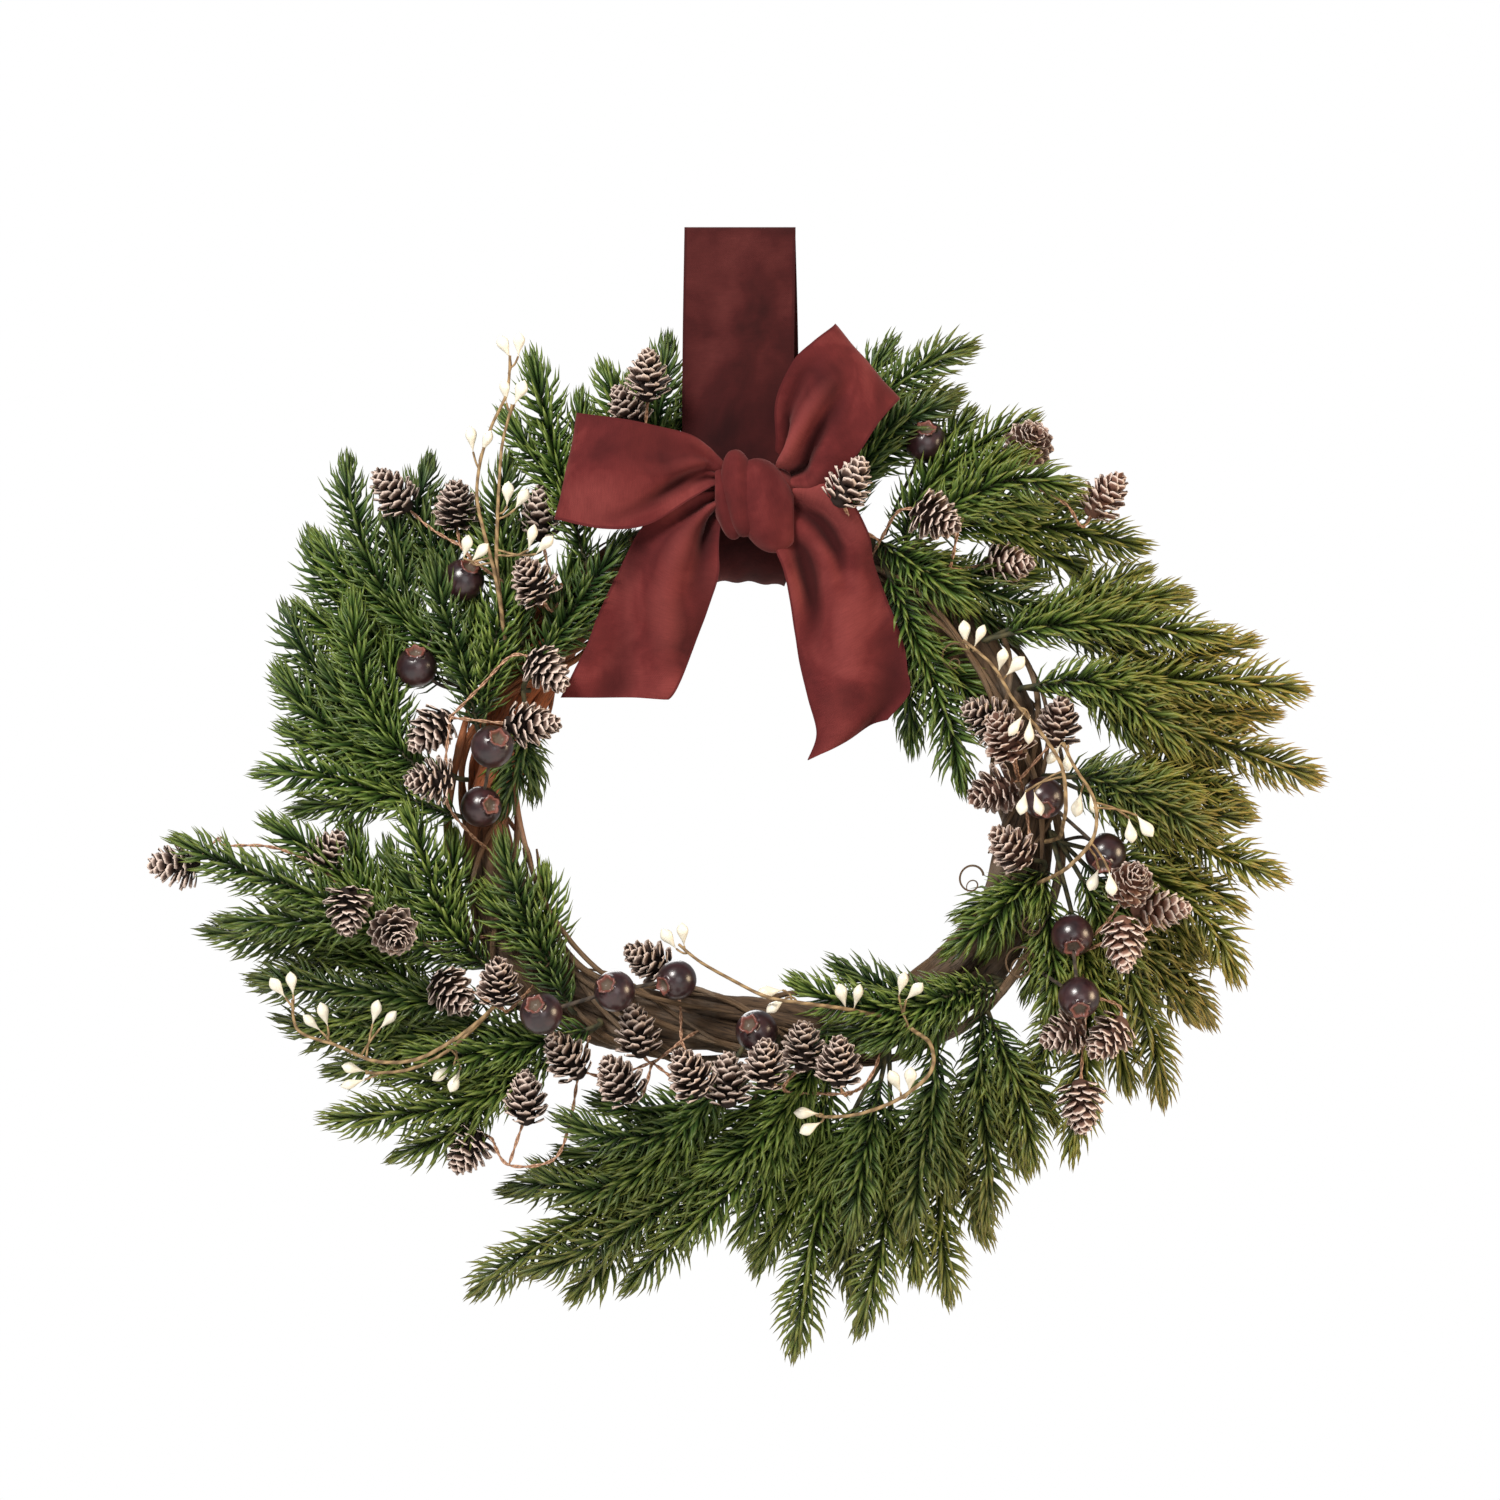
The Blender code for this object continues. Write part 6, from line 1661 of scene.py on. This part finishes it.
def creaseLoopRight(s, u):
    near = math.exp(-(min(s, 1 - s) / 0.18) ** 2)
    front = max(0.0, 1 - s / 0.46)
    pleats = 1.6 * near * math.sin(2 * math.pi * 2.3 * u + 2.2)
    ridge = 2.4 * min(1.0, 2.2 * front) * swell(u, 0.36 + 0.1 * s, 0.10)
    valley = -2.9 * min(1.0, 2.0 * front) * swell(u, 0.60 - 0.12 * s, 0.075)
    upper = -1.7 * min(1.0, 2.5 * front) * swell(u, 0.16, 0.07)
    soft = 0.8 * noise.noise(Vector((s * 7, u * 2.6, 4.1)))
    return pleats + ridge + valley + upper + soft


def creaseTailLeft(s, u):
    near = math.exp(-(s / 0.2) ** 2)
    pleats = 1.6 * near * math.sin(2 * math.pi * 2.0 * u + 1.0)
    ridge = 2.6 * swell(u, 0.42 + 0.25 * s, 0.13) * max(0.0, 1 - s / 0.55)
    valley = -2.6 * swell(u, 0.72 + 0.1 * s, 0.10) * max(0.0, 1 - s / 0.6)
    wave = 1.4 * math.sin(2 * math.pi * (1.1 * u - 0.9 * s) + 0.4) * min(1.0, s * 2)
    soft = 1.6 * noise.noise(Vector((s * 4.5, u * 2.2, 7.7)))
    return pleats + ridge + valley + wave + soft


def creaseTailRight(s, u):
    near = math.exp(-(s / 0.2) ** 2)
    pleats = 1.5 * near * math.sin(2 * math.pi * 1.9 * u + 3.6)
    lip = 4.5 * swell(u, 1.02, 0.20) * swell(s, 0.17, 0.15)
    underLip = -3.2 * swell(u, 0.66, 0.10) * swell(s, 0.24, 0.18)
    valley = -3.0 * swell(u, 0.26 + 0.05 * s, 0.11) * swell(s, 0.30, 0.26)
    ridge = 1.8 * swell(u, 0.06, 0.08) * swell(s, 0.3, 0.25)
    wave = 1.5 * math.sin(2 * math.pi * (0.9 * u + 0.8 * s) + 2.0) * min(1.0, s * 2)
    soft = 1.5 * noise.noise(Vector((s * 4.5, u * 2.2, 2.9)))
    return pleats + lip + underLip + valley + ridge + wave + soft


def knotPiece():
    # the tie's folds, each a rounded lobe of ribbon drawn tight round the knot
    folds = [  # (across, up, half width, half depth, half height, tilt in degrees, depth forward in mm)
        (4.0, 124.5, 13.0, 9.5, 21.5, 19, 4.5), (-7.5, 130.0, 8.0, 8.5, 19.5, 8, 4.5),
        (-13.5, 125.0, 6.0, 7.0, 16.0, 14, 2.0), (8.0, 134.0, 8.0, 7.0, 10.0, 50, 1.0),
    ]
    low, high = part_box("bow_knot")
    parts = []
    for number, (across, up, wide, deep, tall, tilt, forward) in enumerate(folds):
        middle = place(across, up, ribbon["knotDepth"] - forward * mm)
        lean = Matrix.Rotation(math.radians(-tilt), 3, "Y")
        verts, faces = [], []
        rows, sides = 26, 36
        for row in range(rows + 1):
            tip = math.pi * row / rows
            for k in range(sides):
                turn = 2 * math.pi * k / sides
                ridge = 1 + 0.045 * math.sin(5 * turn + 2.2 * tip + number) * math.sin(tip)
                rough = Vector((math.cos(turn) * 1.5, math.sin(turn) * 1.5, tip * 1.6 + 5 * number))
                ridge += 0.05 * noise.noise(rough)
                body = max(0.02, max(0.0, math.sin(tip)) ** 0.85)
                p = Vector((wide * body * math.cos(turn) * ridge, deep * body * math.sin(turn) * ridge,
                            tall * math.cos(tip)))
                p = middle + lean @ p * mm
                p.y = min(p.y, high.y - 0.1 * mm)
                p.x = min(max(p.x, low.x - 1.5 * mm), high.x + 1.5 * mm)
                verts.append(p)
        for row in range(rows):
            for k in range(sides):
                n = (k + 1) % sides
                a = row * sides
                faces.append((a + k, a + sides + k, a + sides + n, a + n))
        faces += [tuple(range(sides)), tuple(range(rows * sides + sides - 1, rows * sides - 1, -1))]
        lobe = meshPiece("knotFold%d" % number, verts, faces, None, finish["ribbon"])
        laid = lobe.data.uv_layers.new(name="clothUv")
        for loop in lobe.data.loops:
            row, k = divmod(loop.vertex_index, sides)
            laid.data[loop.index].uv = (ribbon["width"] * row / rows,
                                        2.2 * wide * mm * math.sin(math.pi * k / sides))
        parts.append(lobe)
    return gathered("bowKnot", parts)


strap, strapLength = strapPiece()
knot = knotPiece()
bowPieces = [
    ("bowLoopLeft", "bow_loop_left", loopLeft, (0, -1), creaseLoopLeft),
    ("bowLoopRight", "bow_loop_right", loopRight, (0, -1), creaseLoopRight),
    ("bowTailLeft", "bow_tail_left", tailLeft, (0,), creaseTailLeft),
    ("bowTailRight", "bow_tail_right", tailRight, (0,), creaseTailRight),
]
stands(strap, "ribbon_cloth", "hanging_ribbon")
stands(knot, "ribbon_cloth", "bow_knot")
for name, node, stations, ends, crease in bowPieces:
    piece, length = bowPiece(name, stations, ends, crease)
    stands(piece, "ribbon_cloth", node)

print("wreath: light, floor and camera")

studio = {"floor": -0.9, "floorFront": -3.0, "floorBack": 1.7, "floorHalf": 3.0, "white": 1.0,
          "fillLight": 0.36, "middle": (0.0, 0.0, -0.24), "camera": (0.0045, -1.875, -0.235), "lens": 100.0}


def floorPiece():
    look, _, shader = newFinish("paleFloor", 0.7)
    shader.inputs["Base Color"].default_value = (0.86, 0.86, 0.85, 1.0)
    half, near, far = (studio[k] for k in ("floorHalf", "floorFront", "floorBack"))
    verts = [(x, y, studio["floor"]) for x, y in ((-half, near), (half, near), (half, far), (-half, far))]
    return meshPiece("studioFloor", verts, [(0, 1, 2, 3)], None, look)


floorPiece()


def areaLight(name, spot, size, power, colour):
    light = bpy.data.lights.new(name, "AREA")
    light.shape = "DISK"
    light.size = size
    light.energy = power
    light.color = colour
    obj = linked(name, light)
    obj.location = spot
    obj.rotation_euler = (Vector(studio["middle"]) - Vector(spot)).to_track_quat("-Z", "Y").to_euler()


areaLight("keyLight", (-0.75, -1.35, 0.85), 0.6, 46.0, (1.0, 0.97, 0.93))
areaLight("frontFill", (0.5, -2.3, -0.1), 1.4, 10.0, (1.0, 1.0, 1.0))
areaLight("warmSide", (1.3, -0.35, -0.15), 0.6, 14.0, (1.0, 0.78, 0.52))
areaLight("backLight", (-0.3, 1.5, 0.5), 1.0, 10.0, (1.0, 1.0, 1.0))

world = bpy.data.worlds.new("softStudio")
bpy.context.scene.world = world
world.use_nodes = True
sky = world.node_tree
sky.nodes.clear()
seen, lit = (put(sky, "ShaderNodeBackground", {}, {"Color": (1.0, 1.0, 1.0, 1.0), "Strength": studio[k]})
             for k in ("white", "fillLight"))
path = put(sky, "ShaderNodeLightPath")
both = put(sky, "ShaderNodeMixShader", {},
           {0: path.outputs["Is Camera Ray"], 1: lit.outputs[0], 2: seen.outputs[0]})
sky.links.new(both.outputs[0], put(sky, "ShaderNodeOutputWorld").inputs[0])

camera = bpy.data.cameras.new("wreathCamera")
camera.lens, camera.sensor_width = studio["lens"], 36.0
camera.clip_start, camera.clip_end = 0.05, 30.0
cameraPiece = linked("wreathCamera", camera)
cameraPiece.location = studio["camera"]
cameraPiece.rotation_euler = (math.radians(90), 0.0, 0.0)
bpy.context.scene.camera = cameraPiece
bpy.context.scene.view_settings.view_transform = "Standard"

print("wreath: done")
